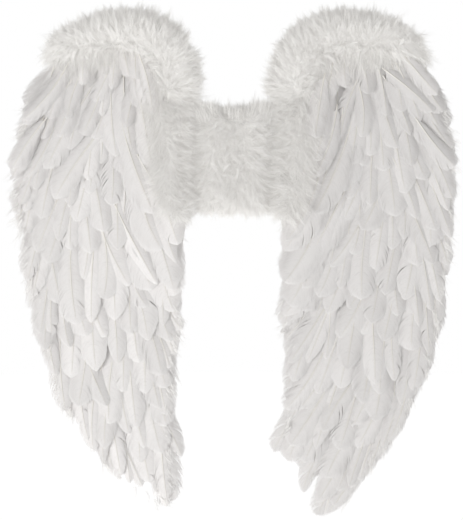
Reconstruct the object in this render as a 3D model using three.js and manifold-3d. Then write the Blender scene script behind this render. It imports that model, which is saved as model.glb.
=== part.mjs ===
// Feathered costume wings: two wire-framed wings that fold on a padded centre
// yoke with two elastic shoulder loops.
//
// Frame: millimetres, +Z up, +X to the right when looking at the feathered
// side, +Y towards the wearer. The origin is the centre of the cushion face
// that rests on the wearer's back.
import * as THREE from "three";
import { mergeVertices } from "three/addons/utils/BufferGeometryUtils.js";
import Module from "manifold-3d";

const wasm = await Module();
wasm.setup();

// ---------------------------------------------------------------- dimensions
const GAP = 0.4; // clearance between parts that touch

// centre yoke
const CUSHION = { halfW: 27, halfH: 48, thick: 10, corner: 12 };
const BOARD = { halfW: 44.5, halfH: 50, thick: 3, corner: 8, back: -10.3 };
const MARABOU_CENTRE = { baseHalfW: 43, topHalfW: 29, base: -15.1, depth: 25, top: 54, bottom: -52 };

// wing hinge: the vertical run of each wire frame turns in a sewn channel
const HINGE_X = 50;
const HINGE_Y = -12;
const CHANNEL = { outerR: 4, boreR: 1.9, halfLen: 40, leafFrom: 30, leafThick: 1, leafBack: -13.6 };

// wing structure
const WIRE_R = 1.5;
const PANEL = { back: -15, thick: 2, margin: 9, rootX: 57 };
const LINING = { back: -13.9, thick: 0.8, inset: 12 };
const FERRULE = { outerR: 2.7, boreR: 1.95, length: 20 };
const TAB = { halfW: 9, length: 14, cloth: 0.8, bumpR: 2.9, boreR: 2.1, places: [0.17, 0.36, 0.58, 0.9] };

// feather rows: parallel leaning slabs, each laid over the next one down
const ROWS = 11;
const ROW_PITCH = 43.1;
const ROW_LENGTH = 102.5;
const ROW_THICK = 3.9;
const ROW_SLOPE = (ROW_THICK + GAP) / ROW_PITCH;
const ROW_START_Z = 131.6;
const ROW_BACK = -17.4;
const FEATHER_PITCH = 25.5;

// marabou trim over the leading edge and the wing root
const TRIM_BACK = -17.5;
const ROOT_FUR = { innerBase: 57, innerTop: 69, outer: 84, depth: 20, top: 50, bottom: -52 };

// elastic shoulder loops
const STRAP = { width: 14, thick: 1.3, axisX: 36.5, axisY: -8, rest: 60 };
const STRAP_TAB = { top: 50, bottom: 28, thick: 1.2, back: -8.8 };

// wire frame of the left wing, x and z, from the top of its hinge run round to the bottom
const WIRE_ROUTE = [
  [-50, 46], [-50.4, 56], [-55, 80], [-63, 105], [-74, 127], [-90, 143], [-112, 151.5],
  [-136, 151], [-160, 142], [-182, 127], [-200, 105], [-213, 78], [-220, 45], [-222, 10],
  [-220, -30], [-215, -75], [-207, -120], [-197, -165], [-184, -210], [-167, -255],
  [-147, -295], [-128, -322], [-108, -336], [-91, -328], [-84, -305], [-80.5, -270],
  [-78.5, -235], [-77.5, -200], [-76.5, -160], [-74.5, -125], [-69, -95], [-59.5, -72],
  [-51.5, -57], [-50, -46],
];

// core line of the leading-edge trim: x, z, half width in the wing's plane, half depth
const TRIM_LEFT = [
  [-63, 57, 17, 11], [-63.5, 78, 20.5, 12.5], [-64.5, 101, 20, 13.5], [-71, 122, 20.5, 14.5], [-87, 140, 20, 15.5],
  [-109, 150, 18.5, 15.5], [-134, 151, 18, 15], [-159, 147, 16, 13.5], [-182, 141, 13, 11.5], [-202, 132, 9.5, 8.5], [-214, 123, 6, 6],
];
const TRIM_RIGHT = [
  [62, 57, 17, 11], [63.5, 78, 20.5, 12.5], [67, 102, 20, 13.5], [76, 123, 20.5, 14.5], [95, 140, 20, 15.5],
  [118, 149, 18.5, 15.5], [143, 150, 18, 15], [168, 147, 16, 13.5], [190, 141, 13, 11.5], [208, 131, 9.5, 8.5], [220, 121, 6, 6],
];
const TRIM_CLEAR = 1; // between the trim's outline and the feather rows

// zone that the feather rows cover, x and z
const ZONE_LEFT = [
  [-196, 104], [-176, 117], [-157, 129], [-134, 136.5], [-111, 136.5], [-97, 129], [-86, 113],
  [-80, 94], [-77, 74], [-86, 64], [-86, -54], [-53, -54], [-53, -80], [-58, -95], [-58, -107],
  [-59.5, -133], [-63, -162], [-55.5, -188], [-55.5, -199], [-61, -214], [-65, -238], [-69.5, -246],
  [-63.5, -264], [-71.5, -281], [-69.5, -292], [-70.5, -325], [-67, -358], [-68.5, -390],
  [-79, -400], [-95, -386], [-115, -382.5], [-141.5, -370.5], [-160, -352], [-170.5, -333],
  [-184.5, -306.5], [-202, -291], [-208, -272.5], [-217, -236.5], [-227.5, -211], [-237, -169],
  [-246.5, -138.5], [-251, -96.5], [-260, -68.5], [-260.5, -41], [-266, -13], [-260.5, 13],
  [-252, 43], [-247, 71], [-236, 92], [-229, 108], [-216, 113],
];
const ZONE_RIGHT = [
  [206, 103], [189, 118], [169, 131], [145, 136], [121, 134.5], [103, 127], [90, 112],
  [81, 94], [78, 74], [86, 64], [86, -54], [53, -54], [53, -91], [50.5, -120], [54, -140],
  [52, -165], [50, -202], [58.5, -222], [58.5, -245], [54.5, -272], [57, -300], [59.5, -329],
  [55.5, -345], [76, -358], [84, -368], [91.5, -378], [90, -400], [99, -413.5], [112, -414],
  [129, -402], [135, -390], [147, -384], [161, -368], [174, -347], [189, -324], [203, -305.5],
  [214, -280], [223, -263], [232.5, -248], [233.5, -225], [243.5, -196], [246, -161], [257, -126],
  [260.5, -91], [262, -51], [263.5, -13], [261, 13], [257, 45], [249, 70], [240, 92], [232, 108], [222, 114],
];

// ------------------------------------------------------------------- helpers
function solid(geometry) {
  const g = geometry.clone();
  g.deleteAttribute("normal");
  g.deleteAttribute("uv");
  const m = mergeVertices(g, 1e-4);
  return new wasm.Manifold(
    new wasm.Mesh({
      numProp: 3,
      vertProperties: m.attributes.position.array,
      triVerts: new Uint32Array(m.index.array),
    }),
  );
}

function geometryOf(manifold) {
  const m = manifold.getMesh();
  const g = new THREE.BufferGeometry();
  const v = new Float32Array(m.numVert * 3);
  for (let i = 0; i < m.numVert; i++) v.set(m.vertProperties.subarray(i * m.numProp, i * m.numProp + 3), i * 3);
  g.setAttribute("position", new THREE.BufferAttribute(v, 3));
  g.setIndex(new THREE.BufferAttribute(new Uint32Array(m.triVerts), 1));
  g.computeVertexNormals();
  return g;
}

function largest(manifold) {
  return manifold.decompose().sort((a, b) => b.volume() - a.volume())[0];
}

function area(points) {
  let a = 0;
  points.forEach((p, i) => {
    const q = points[(i + 1) % points.length];
    a += p[0] * q[1] - q[0] * p[1];
  });
  return a / 2;
}

// a flat plate whose outline is given in x and z, from y = back to y = back - thick
function plate(points, back, thick, bevel = 0) {
  const outline = area(points) < 0 ? [...points].reverse() : points;
  const shape = new THREE.Shape(outline.map(([x, z]) => new THREE.Vector2(x, z)));
  const g = new THREE.ExtrudeGeometry(shape, {
    depth: thick - 2 * bevel,
    bevelEnabled: bevel > 0,
    bevelThickness: bevel,
    bevelSize: bevel,
    bevelOffset: -bevel,
    bevelSegments: 2,
    steps: 1,
  });
  g.rotateX(Math.PI / 2);
  g.translate(0, back - bevel, 0);
  return g;
}

function roundedRect(halfW, halfH, r, segments = 6) {
  const points = [];
  const centres = [[halfW - r, halfH - r, 0], [-halfW + r, halfH - r, 90], [-halfW + r, -halfH + r, 180], [halfW - r, -halfH + r, 270]];
  for (const [cx, cz, from] of centres)
    for (let i = 0; i <= segments; i++) {
      const a = ((from + (90 * i) / segments) * Math.PI) / 180;
      points.push([cx + r * Math.cos(a), cz + r * Math.sin(a)]);
    }
  return points;
}

// outline moved outwards (or inwards, if d is negative) along its own normals
function offset(points, d) {
  const s = Math.sign(area(points));
  return points.map((p, i) => {
    const a = points[(i + points.length - 1) % points.length];
    const b = points[(i + 1) % points.length];
    const t = new THREE.Vector2(b[0] - a[0], b[1] - a[1]).normalize();
    return [p[0] + s * d * t.y, p[1] - s * d * t.x];
  });
}

// a closed body through rings of points, all of the same count, capped at both ends
function loft(rings) {
  const n = rings[0].length;
  const pos = [];
  const idx = [];
  rings.forEach((ring) => ring.forEach((p) => pos.push(p.x, p.y, p.z)));
  for (let i = 0; i + 1 < rings.length; i++)
    for (let j = 0; j < n; j++) {
      const a = i * n + j, b = i * n + ((j + 1) % n), c = a + n, d = b + n;
      idx.push(a, b, c, b, d, c);
    }
  const cap = (base, flip) => {
    const c = new THREE.Vector3();
    for (let j = 0; j < n; j++) c.add(new THREE.Vector3(...pos.slice((base + j) * 3, (base + j) * 3 + 3)));
    c.divideScalar(n);
    const k = pos.length / 3;
    pos.push(c.x, c.y, c.z);
    for (let j = 0; j < n; j++) {
      const a = base + j, b = base + ((j + 1) % n);
      if (flip) idx.push(k, b, a);
      else idx.push(k, a, b);
    }
  };
  cap(0, true);
  cap((rings.length - 1) * n, false);
  const g = new THREE.BufferGeometry();
  g.setAttribute("position", new THREE.BufferAttribute(new Float32Array(pos), 3));
  g.setIndex(idx);
  if (solid(g).volume() < 0) {
    const flipped = [];
    for (let i = 0; i < idx.length; i += 3) flipped.push(idx[i], idx[i + 2], idx[i + 1]);
    g.setIndex(flipped);
  }
  g.computeVertexNormals();
  return g;
}

function circle2(r, n, phase = 0) {
  return Array.from({ length: n }, (_, i) => {
    const a = phase + (2 * Math.PI * i) / n;
    return [r * Math.cos(a), r * Math.sin(a)];
  });
}

// a tube with a bore through it, along Z or along a given direction
function tube(centre, direction, outerR, boreR, length, n = 16) {
  const shape = new THREE.Shape(circle2(outerR, n).map(([x, y]) => new THREE.Vector2(x, y)));
  shape.holes.push(new THREE.Path(circle2(boreR, n).map(([x, y]) => new THREE.Vector2(x, y))));
  const g = new THREE.ExtrudeGeometry(shape, { depth: length, bevelEnabled: false, steps: 1 });
  g.translate(0, 0, -length / 2);
  g.applyQuaternion(new THREE.Quaternion().setFromUnitVectors(new THREE.Vector3(0, 0, 1), direction.clone().normalize()));
  g.translate(centre.x, centre.y, centre.z);
  return g;
}

const material = (color, roughness, metalness = 0) => new THREE.MeshStandardMaterial({ color, roughness, metalness });
const WHITE_FEATHER = material(0xe9e6e2, 0.75);
const MARABOU = material(0xe6e3df, 0.9);
const WHITE_FELT = material(0xe4e2de, 0.95);
const LINING_CLOTH = material(0xe8e7e4, 0.8);
const STEEL_WIRE = material(0xb9bbbd, 0.35, 0.9);
const CRIMP = material(0xc4c6c8, 0.4, 0.9);
const TAPE = material(0xeceae6, 0.85);
const BOARD_CARD = material(0xdedbd4, 0.9);
const CUSHION_CLOTH = material(0xe6e4e0, 0.85);
const ELASTIC = material(0xeceae6, 0.8);

const wings = new THREE.Group();
wings.name = "feather_wings";
function add(name, geometry, mat, parent = wings) {
  const mesh = new THREE.Mesh(geometry, mat);
  mesh.name = name;
  parent.add(mesh);
  return mesh;
}

// --------------------------------------------------------------- centre yoke
const yoke = new THREE.Group();
wings.add(yoke);
add("centre_board", plate(roundedRect(BOARD.halfW, BOARD.halfH, BOARD.corner), BOARD.back, BOARD.thick), BOARD_CARD, yoke);
add("back_cushion", plate(roundedRect(CUSHION.halfW, CUSHION.halfH, CUSHION.corner), 0, CUSHION.thick, 2), CUSHION_CLOTH, yoke);

// marabou pad: it narrows towards its face, so the folding wings clear it
{
  const m = MARABOU_CENTRE;
  const ring = (y, w, top, bottom) =>
    roundedRect(w, (top - bottom) / 2, 10, 4).map(([x, z]) => new THREE.Vector3(x, y, z + (top + bottom) / 2));
  const rings = [
    ring(m.base, m.baseHalfW, m.top, m.bottom),
    ring(m.base - m.depth * 0.55, m.baseHalfW - 7.2, m.top - 1, m.bottom + 1),
    ring(m.base - m.depth * 0.9, m.topHalfW + 1, m.top - 5, m.bottom + 5),
    ring(m.base - m.depth, m.topHalfW - 6, m.top - 12, m.bottom + 12),
  ];
  add("centre_marabou", loft(rings), MARABOU, yoke);
}

for (const [side, s] of [["left", -1], ["right", 1]]) {
  // sewn channel: a barrel round the hinge run of the wire, with a leaf sewn to the board's front
  const barrel = solid(tube(new THREE.Vector3(s * HINGE_X, HINGE_Y, 0), new THREE.Vector3(0, 0, 1), CHANNEL.outerR, CHANNEL.boreR, 2 * CHANNEL.halfLen, 20));
  const leafW = HINGE_X - 3.2 - CHANNEL.leafFrom;
  const leaf = new THREE.BoxGeometry(leafW, CHANNEL.leafThick, 2 * CHANNEL.halfLen);
  leaf.translate(s * (CHANNEL.leafFrom + leafW / 2), CHANNEL.leafBack - CHANNEL.leafThick / 2, 0);
  add(side + "_hinge_channel", geometryOf(barrel.add(solid(leaf))), TAPE, yoke);

  // box-stitched ends of the shoulder loop on the board's back
  for (const [place, z] of [["upper", 1], ["lower", -1]]) {
    const h = (STRAP_TAB.top - STRAP_TAB.bottom) / 2;
    const mid = z * (STRAP_TAB.top + STRAP_TAB.bottom) / 2;
    const points = roundedRect(STRAP.width / 2, h, 1, 1).map(([x, y]) => [x + s * STRAP.axisX, y + mid]);
    add(side + "_" + place + "_strap_tab", plate(points, STRAP_TAB.back, STRAP_TAB.thick), ELASTIC, yoke);
  }
}

// --------------------------------------------------------------------- wings
// wire loop as one rod whose two ends meet inside the crimp ferrule
function wireLoop(s) {
  const route = WIRE_ROUTE.map(([x, z]) => new THREE.Vector3(-s * x, HINGE_Y, z));
  const curve = new THREE.CatmullRomCurve3(route, false, "centripetal");
  const sampled = curve.getSpacedPoints(92);
  // the butt joint is on the inner edge, half way down
  let cut = 0;
  sampled.forEach((p, i) => {
    if (i > 60 && Math.abs(p.z + 212) < Math.abs(sampled[cut].z + 212)) cut = i;
  });
  const loop = [...sampled.slice(cut), ...sampled.slice(0, cut + 1)];
  // the straight hinge run closes the loop between the route's two ends
  const first = loop[0].clone().lerp(loop[1], 0.03);
  const last = loop[loop.length - 1].clone().lerp(loop[loop.length - 2], 0.03);
  loop[0] = first;
  loop[loop.length - 1] = last;
  const up = new THREE.Vector3(0, 1, 0);
  const rings = loop.map((p, i) => {
    const a = loop[Math.max(0, i - 1)], b = loop[Math.min(loop.length - 1, i + 1)];
    const t = b.clone().sub(a).normalize();
    const n = new THREE.Vector3().crossVectors(t, up).normalize();
    return circle2(WIRE_R, 8, Math.PI / 8).map(([u, v]) => p.clone().addScaledVector(n, u).addScaledVector(up, v));
  });
  const t = loop[1].clone().sub(loop[0]).normalize();
  const mid = first.clone().add(last).multiplyScalar(0.5);
  return { geometry: loft(rings), curve, joint: mid, direction: t };
}

// upper line of row k: it drops away on both sides under the arched trim, and
// lower down the wing it tilts square to the lie of the feathers
function rowTopLine(k, x) {
  const inner = x > -144 ? Math.min(1.25, (x + 144) / 64) : 0;
  const outer = x < -144 ? (-144 - x) / 76 : 0;
  const arch = Math.max(0, 1 - k * 0.2) * (76 * inner ** 2 + 20 * outer ** 2);
  const tilt = Math.min(1, Math.max(0, (k - 2) / 4)) * 0.2 * Math.min(0, x + 57);
  return ROW_START_Z - k * ROW_PITCH - arch + tilt;
}

// one row of feathers as a leaning slab with a round-toothed lower edge
function rowOutline(k, xFrom, xTo, phase) {
  const top = [], teeth = [];
  const n = 12;
  for (let i = 0; i <= n; i++) {
    const x = xFrom + ((xTo - xFrom) * i) / n;
    top.push([x, rowTopLine(k, x)]);
  }
  const drop = 14;
  for (let x = xTo + FEATHER_PITCH * phase; x > xFrom - FEATHER_PITCH; x -= FEATHER_PITCH) {
    for (const [u, d] of [[0.0, 0], [0.12, 0.55], [0.34, 0.94], [0.5, 1], [0.66, 0.94], [0.88, 0.55]]) {
      const px = x - u * FEATHER_PITCH;
      teeth.push([px, rowTopLine(k, px) - ROW_LENGTH + drop * (1 - d)]);
    }
  }
  return [...top, ...teeth];
}

function lean(geometry, zRef) {
  const p = geometry.attributes.position;
  for (let i = 0; i < p.count; i++) p.setY(i, p.getY(i) - ROW_SLOPE * (zRef - p.getZ(i)));
  p.needsUpdate = true;
  return geometry;
}

for (const [side, s] of [["left", -1], ["right", 1]]) {
  const wing = new THREE.Group();
  wings.add(wing);
  const flip = (points) => (s < 0 ? points : points.map(([x, z]) => [-x, z]));

  const wire = wireLoop(s);
  add(side + "_wire_frame", wire.geometry, STEEL_WIRE, wing);
  add(side + "_wire_ferrule", tube(wire.joint, wire.direction, FERRULE.outerR, FERRULE.boreR, FERRULE.length, 12), CRIMP, wing);

  // base panel: the wire's outline with a margin, held back from the hinge
  const ring = wire.curve.getSpacedPoints(64).map((p) => [p.x, p.z]);
  const panelOutline = offset(ring, PANEL.margin).map(([x, z]) => [
    Math.abs(z) < 70 && Math.abs(x) < PANEL.rootX + 3 ? s * PANEL.rootX : s * Math.max(Math.abs(x), PANEL.rootX),
    z,
  ]);
  const clean = panelOutline.filter((p, i) => {
    const q = panelOutline[(i + panelOutline.length - 1) % panelOutline.length];
    return Math.hypot(p[0] - q[0], p[1] - q[1]) > 1.5;
  });
  add(side + "_base_panel", plate(clean, PANEL.back, PANEL.thick), WHITE_FELT, wing);

  // lining cloth inside the wire loop, glued to the panel's back
  const liningOutline = offset(ring, -LINING.inset).map(([x, z]) => [s * Math.max(Math.abs(x), PANEL.rootX + 3), z])
    .filter((p, i, all) => {
      const q = all[(i + all.length - 1) % all.length];
      return Math.hypot(p[0] - q[0], p[1] - q[1]) > 1.5;
    });
  add(side + "_lining", plate(liningOutline, LINING.back, LINING.thick), LINING_CLOTH, wing);

  // tape tabs that hold the wire to the panel
  TAB.places.forEach((u, i) => {
    const p = wire.curve.getPointAt(u), t = wire.curve.getTangentAt(u);
    const across = new THREE.Vector3().crossVectors(t, new THREE.Vector3(0, 1, 0)).normalize();
    const base = PANEL.back + GAP - HINGE_Y; // the panel's back face, seen from the wire's centre
    const top = base + TAB.cloth;
    const arc = (r, from, to, n) => Array.from({ length: n + 1 }, (_, j) => {
      const a = from + ((to - from) * j) / n;
      return [r * Math.cos(a), r * Math.sin(a)];
    });
    const outerA = Math.asin(Math.max(-1, top / TAB.bumpR));
    const profile = [
      [TAB.halfW, base], [TAB.halfW, top],
      ...arc(TAB.bumpR, outerA, Math.PI - outerA, 10),
      [-TAB.halfW, top], [-TAB.halfW, base],
      [-TAB.boreR - 0.15, base], ...arc(TAB.boreR, Math.PI, 0, 8), [TAB.boreR + 0.15, base],
    ];
    const shape = new THREE.Shape(profile.map(([a, b]) => new THREE.Vector2(a, b)));
    const g = new THREE.ExtrudeGeometry(shape, { depth: TAB.length, bevelEnabled: false, steps: 1 });
    g.translate(0, 0, -TAB.length / 2);
    const basis = new THREE.Matrix4().makeBasis(across, new THREE.Vector3(0, 1, 0), new THREE.Vector3().crossVectors(across, new THREE.Vector3(0, 1, 0)));
    g.applyMatrix4(basis);
    g.translate(p.x, p.y, p.z);
    add(side + "_wire_tab_" + (i + 1), g, TAPE, wing);
  });

  // marabou trim over the leading edge: a flattened, tapered roll on the panel's front
  const line = s < 0 ? TRIM_LEFT : TRIM_RIGHT;
  const core = new THREE.CatmullRomCurve3(line.map(([x, z]) => new THREE.Vector3(x, 0, z)), false, "centripetal");
  const steps = 24;
  const rings = [], outer = [], under = [];
  for (let i = 0; i <= steps; i++) {
    const u = i / steps;
    const p = core.getPoint(u), t = core.getTangent(u);
    const f = u * (line.length - 1), j = Math.min(line.length - 2, Math.floor(f));
    const taper = Math.min(1, 0.55 + 4 * Math.min(u, 1 - u));
    const [halfW, halfD] = [2, 3].map((c) => (line[j][c] + (line[j + 1][c] - line[j][c]) * (f - j)) * taper);
    const n = new THREE.Vector3().crossVectors(t, new THREE.Vector3(0, 1, 0)).normalize();
    rings.push(circle2(1, 14, Math.PI / 14).map(([a, b]) =>
      new THREE.Vector3(p.x + n.x * a * halfW, TRIM_BACK - halfD + b * halfD, p.z + n.z * a * halfW)));
    const reach = halfW + TRIM_CLEAR;
    outer.push([p.x + n.x * reach, p.z + n.z * reach]);
    under.push([p.x - n.x * reach, p.z - n.z * reach]);
  }
  add(side + "_edge_marabou", loft(rings), MARABOU, wing);
  const trimPlan = solid(plate([...outer, ...under.reverse()], 20, 120));

  // marabou pad over the wing root, sloped on its inner side so the wing can fold back
  {
    const m = ROOT_FUR;
    const level = (z, k) => [
      [m.innerBase + 1, TRIM_BACK], [m.innerTop - 2, TRIM_BACK - m.depth * k * 0.86], [m.innerTop + 3, TRIM_BACK - m.depth * k],
      [m.outer - 4, TRIM_BACK - m.depth * k * 0.9], [m.outer, TRIM_BACK - m.depth * k * 0.5], [m.outer, TRIM_BACK],
    ].map(([x, y]) => new THREE.Vector3(s * x, y, z));
    const zs = [[m.bottom, 0.55], [m.bottom + 8, 0.9], [-20, 1], [15, 1], [m.top - 22, 0.95], [m.top - 12, 0.7]];
    add(side + "_root_marabou", loft(zs.map(([z, k]) => level(z, k))), MARABOU, wing);
  }

  // feather rows
  const zone = largest(solid(plate(s < 0 ? ZONE_LEFT : ZONE_RIGHT, 20, 120)).subtract(trimPlan));
  for (let k = 0; k < ROWS; k++) {
    const outline = rowOutline(k, -290, -30, k % 2 ? 0.5 : 0.1);
    const shiftZ = s > 0 ? -k * 1.1 : 0; // the right wing hangs slightly longer
    const slab = lean(plate(flip(outline.map(([x, z]) => [x, z + shiftZ])), ROW_BACK, ROW_THICK), ROW_START_Z - k * ROW_PITCH);
    let row = largest(solid(slab).intersect(zone));
    add(side + "_feather_row_" + String(k + 1).padStart(2, "0"), geometryOf(row), WHITE_FEATHER, wing);
  }
}

// ------------------------------------------------------------- shoulder loops
// centre line of a loop in its own upright plane: distance from its swing axis, height
const STRAP_LINE = [
  [7, 58.5], [15, 65], [30, 70], [52, 66], [74, 50], [90, 24], [97, -8], [93, -38],
  [80, -62], [62, -74], [44, -74], [28, -68.5], [15, -61.5], [7, -56],
];
for (const [side, s] of [["left", -1], ["right", 1]]) {
  const a = (STRAP.rest * Math.PI) / 180;
  const out = new THREE.Vector3(s * Math.sin(a), Math.cos(a), 0); // the loop's plane at rest
  const across = new THREE.Vector3(s * Math.cos(a), -Math.sin(a), 0);
  const curve = new THREE.CatmullRomCurve3(STRAP_LINE.map(([r, z]) => new THREE.Vector3(r, 0, z)), false, "centripetal");
  const rings = [];
  const n = 40;
  for (let i = 0; i <= n; i++) {
    const p = curve.getPointAt(i / n), t = curve.getTangentAt(i / n);
    const normal = new THREE.Vector2(t.z, -t.x);
    rings.push([[-1, -1], [1, -1], [1, 1], [-1, 1]].map(([w, h]) => {
      const r = p.x + (h * STRAP.thick / 2) * normal.x, z = p.z + (h * STRAP.thick / 2) * normal.y;
      return new THREE.Vector3(s * STRAP.axisX, STRAP.axisY, z).addScaledVector(out, r).addScaledVector(across, (w * STRAP.width) / 2);
    }));
  }
  add(side + "_shoulder_strap", loft(rings), ELASTIC);
}

export default wings;
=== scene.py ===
"""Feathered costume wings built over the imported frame. Metres, +Z up, +Y towards the wearer."""
import math

import bmesh
import bpy
import numpy as np
from mathutils import Matrix, Vector


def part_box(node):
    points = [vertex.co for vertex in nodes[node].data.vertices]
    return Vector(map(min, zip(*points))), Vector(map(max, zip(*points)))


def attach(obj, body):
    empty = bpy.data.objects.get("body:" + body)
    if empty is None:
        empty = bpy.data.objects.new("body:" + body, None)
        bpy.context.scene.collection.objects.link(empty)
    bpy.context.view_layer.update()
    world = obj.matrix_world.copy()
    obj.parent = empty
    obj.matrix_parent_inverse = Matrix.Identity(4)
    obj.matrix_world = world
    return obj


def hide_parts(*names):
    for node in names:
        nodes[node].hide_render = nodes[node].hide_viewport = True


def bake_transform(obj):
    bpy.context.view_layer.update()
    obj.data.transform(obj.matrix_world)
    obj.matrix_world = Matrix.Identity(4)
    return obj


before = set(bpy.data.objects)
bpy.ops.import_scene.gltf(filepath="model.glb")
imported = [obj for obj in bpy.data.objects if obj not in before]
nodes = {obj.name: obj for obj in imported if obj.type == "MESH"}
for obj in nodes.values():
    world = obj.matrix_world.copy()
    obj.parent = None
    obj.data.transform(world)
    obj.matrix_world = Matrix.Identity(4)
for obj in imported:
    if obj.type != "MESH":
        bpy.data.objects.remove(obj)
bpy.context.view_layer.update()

scene = bpy.context.scene
MM = 0.001
rng = np.random.default_rng(20261)


# ------------------------------------------------------------------ helpers
def node_box(name):
    lo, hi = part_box(name)
    return np.array(lo), np.array(hi)


def mesh_object(name, co, quads=None, tris=None, smooth=True, layers=None, points=None):
    """A mesh object from arrays. layers: {name: (per-vertex uv)}; points: {name: per-vertex float}."""
    co = np.asarray(co, np.float64)
    loops, starts, totals = [], [], []
    at = 0
    for faces, k in ((quads, 4), (tris, 3)):
        if faces is None or len(faces) == 0:
            continue
        faces = np.asarray(faces, np.int32)
        loops.append(faces.ravel())
        starts.append(at + np.arange(len(faces)) * k)
        totals.append(np.full(len(faces), k))
        at += faces.size
    loops = np.concatenate(loops)
    starts = np.concatenate(starts)
    totals = np.concatenate(totals)
    me = bpy.data.meshes.new(name)
    me.vertices.add(len(co))
    me.vertices.foreach_set("co", co.astype(np.float32).ravel())
    me.loops.add(len(loops))
    me.loops.foreach_set("vertex_index", loops.astype(np.int32))
    me.polygons.add(len(starts))
    me.polygons.foreach_set("loop_start", starts.astype(np.int32))
    me.polygons.foreach_set("loop_total", totals.astype(np.int32))
    me.polygons.foreach_set("use_smooth", np.full(len(starts), smooth))
    for key, uv in (layers or {}).items():
        layer = me.uv_layers.new(name=key)
        layer.data.foreach_set("uv", np.asarray(uv, np.float32)[loops].ravel())
    for key, value in (points or {}).items():
        a = me.attributes.new(key, "FLOAT", "POINT")
        a.data.foreach_set("value", np.asarray(value, np.float32))
    me.update(calc_edges=True)
    me.validate()
    ob = bpy.data.objects.new(name, me)
    scene.collection.objects.link(ob)
    return ob


def smoothstep(a, b, x):
    t = np.clip((x - a) / (b - a), 0, 1)
    return t * t * (3 - 2 * t)


def unit(v):
    return v / np.maximum(np.linalg.norm(v, axis=-1, keepdims=True), 1e-12)


# ---------------------------------------------------------------- materials
class Mat:
    """A small wrapper round a Principled material's node tree."""

    def __init__(self, name, roughness=0.6, **sockets):
        self.mat = bpy.data.materials.new(name)
        self.mat.use_nodes = True
        self.nt = self.mat.node_tree
        self.bsdf = self.nt.nodes["Principled BSDF"]
        self.bsdf.inputs["Roughness"].default_value = roughness
        for key, value in sockets.items():
            self.bsdf.inputs[key.replace("_", " ")].default_value = value

    def node(self, kind, **props):
        n = self.nt.nodes.new(kind)
        for key, value in props.items():
            if key.startswith("in_"):
                n.inputs[key[3:].replace("_", " ")].default_value = value
            else:
                setattr(n, key, value)
        return n

    def link(self, a, b):
        self.nt.links.new(a, b)

    def coords(self):
        return self.node("ShaderNodeTexCoord").outputs["Object"]

    def noise(self, scale, detail=3.0, rough=0.5, vector=None, distortion=0.0):
        n = self.node("ShaderNodeTexNoise")
        n.inputs["Scale"].default_value = scale
        n.inputs["Detail"].default_value = detail
        n.inputs["Roughness"].default_value = rough
        n.inputs["Distortion"].default_value = distortion
        self.link(vector or self.coords(), n.inputs["Vector"])
        return n.outputs["Fac"]

    def ramp(self, fac, stops):
        r = self.node("ShaderNodeValToRGB")
        e = r.color_ramp.elements
        while len(e) < len(stops):
            e.new(0.5)
        for el, (p, c) in zip(e, stops):
            el.position = p
            el.color = (*c, 1) if len(c) == 3 else c
        self.link(fac, r.inputs["Fac"])
        return r.outputs["Color"]

    def math(self, op, a, b=None, c=None, clamp=False):
        m = self.node("ShaderNodeMath", operation=op, use_clamp=clamp)
        for i, v in enumerate((a, b, c)):
            if v is None:
                continue
            if isinstance(v, (int, float)):
                m.inputs[i].default_value = v
            else:
                self.link(v, m.inputs[i])
        return m.outputs[0]

    def mix(self, fac, a, b, blend="MIX"):
        m = self.node("ShaderNodeMix", data_type="RGBA", blend_type=blend)
        m.clamp_result = False
        for idx, v in ((0, fac), (6, a), (7, b)):
            if isinstance(v, (int, float)):
                m.inputs[idx].default_value = v
            elif isinstance(v, (tuple, list)):
                m.inputs[idx].default_value = (*v, 1)
            else:
                self.link(v, m.inputs[idx])
        return m.outputs[2]

    def colour(self, socket):
        self.link(socket, self.bsdf.inputs["Base Color"])

    def rough(self, socket):
        self.link(socket, self.bsdf.inputs["Roughness"])

    def bump(self, height, strength=0.3, distance=0.0005):
        b = self.node("ShaderNodeBump")
        b.inputs["Strength"].default_value = strength
        b.inputs["Distance"].default_value = distance
        self.link(height, b.inputs["Height"])
        self.link(b.outputs["Normal"], self.bsdf.inputs["Normal"])


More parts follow.
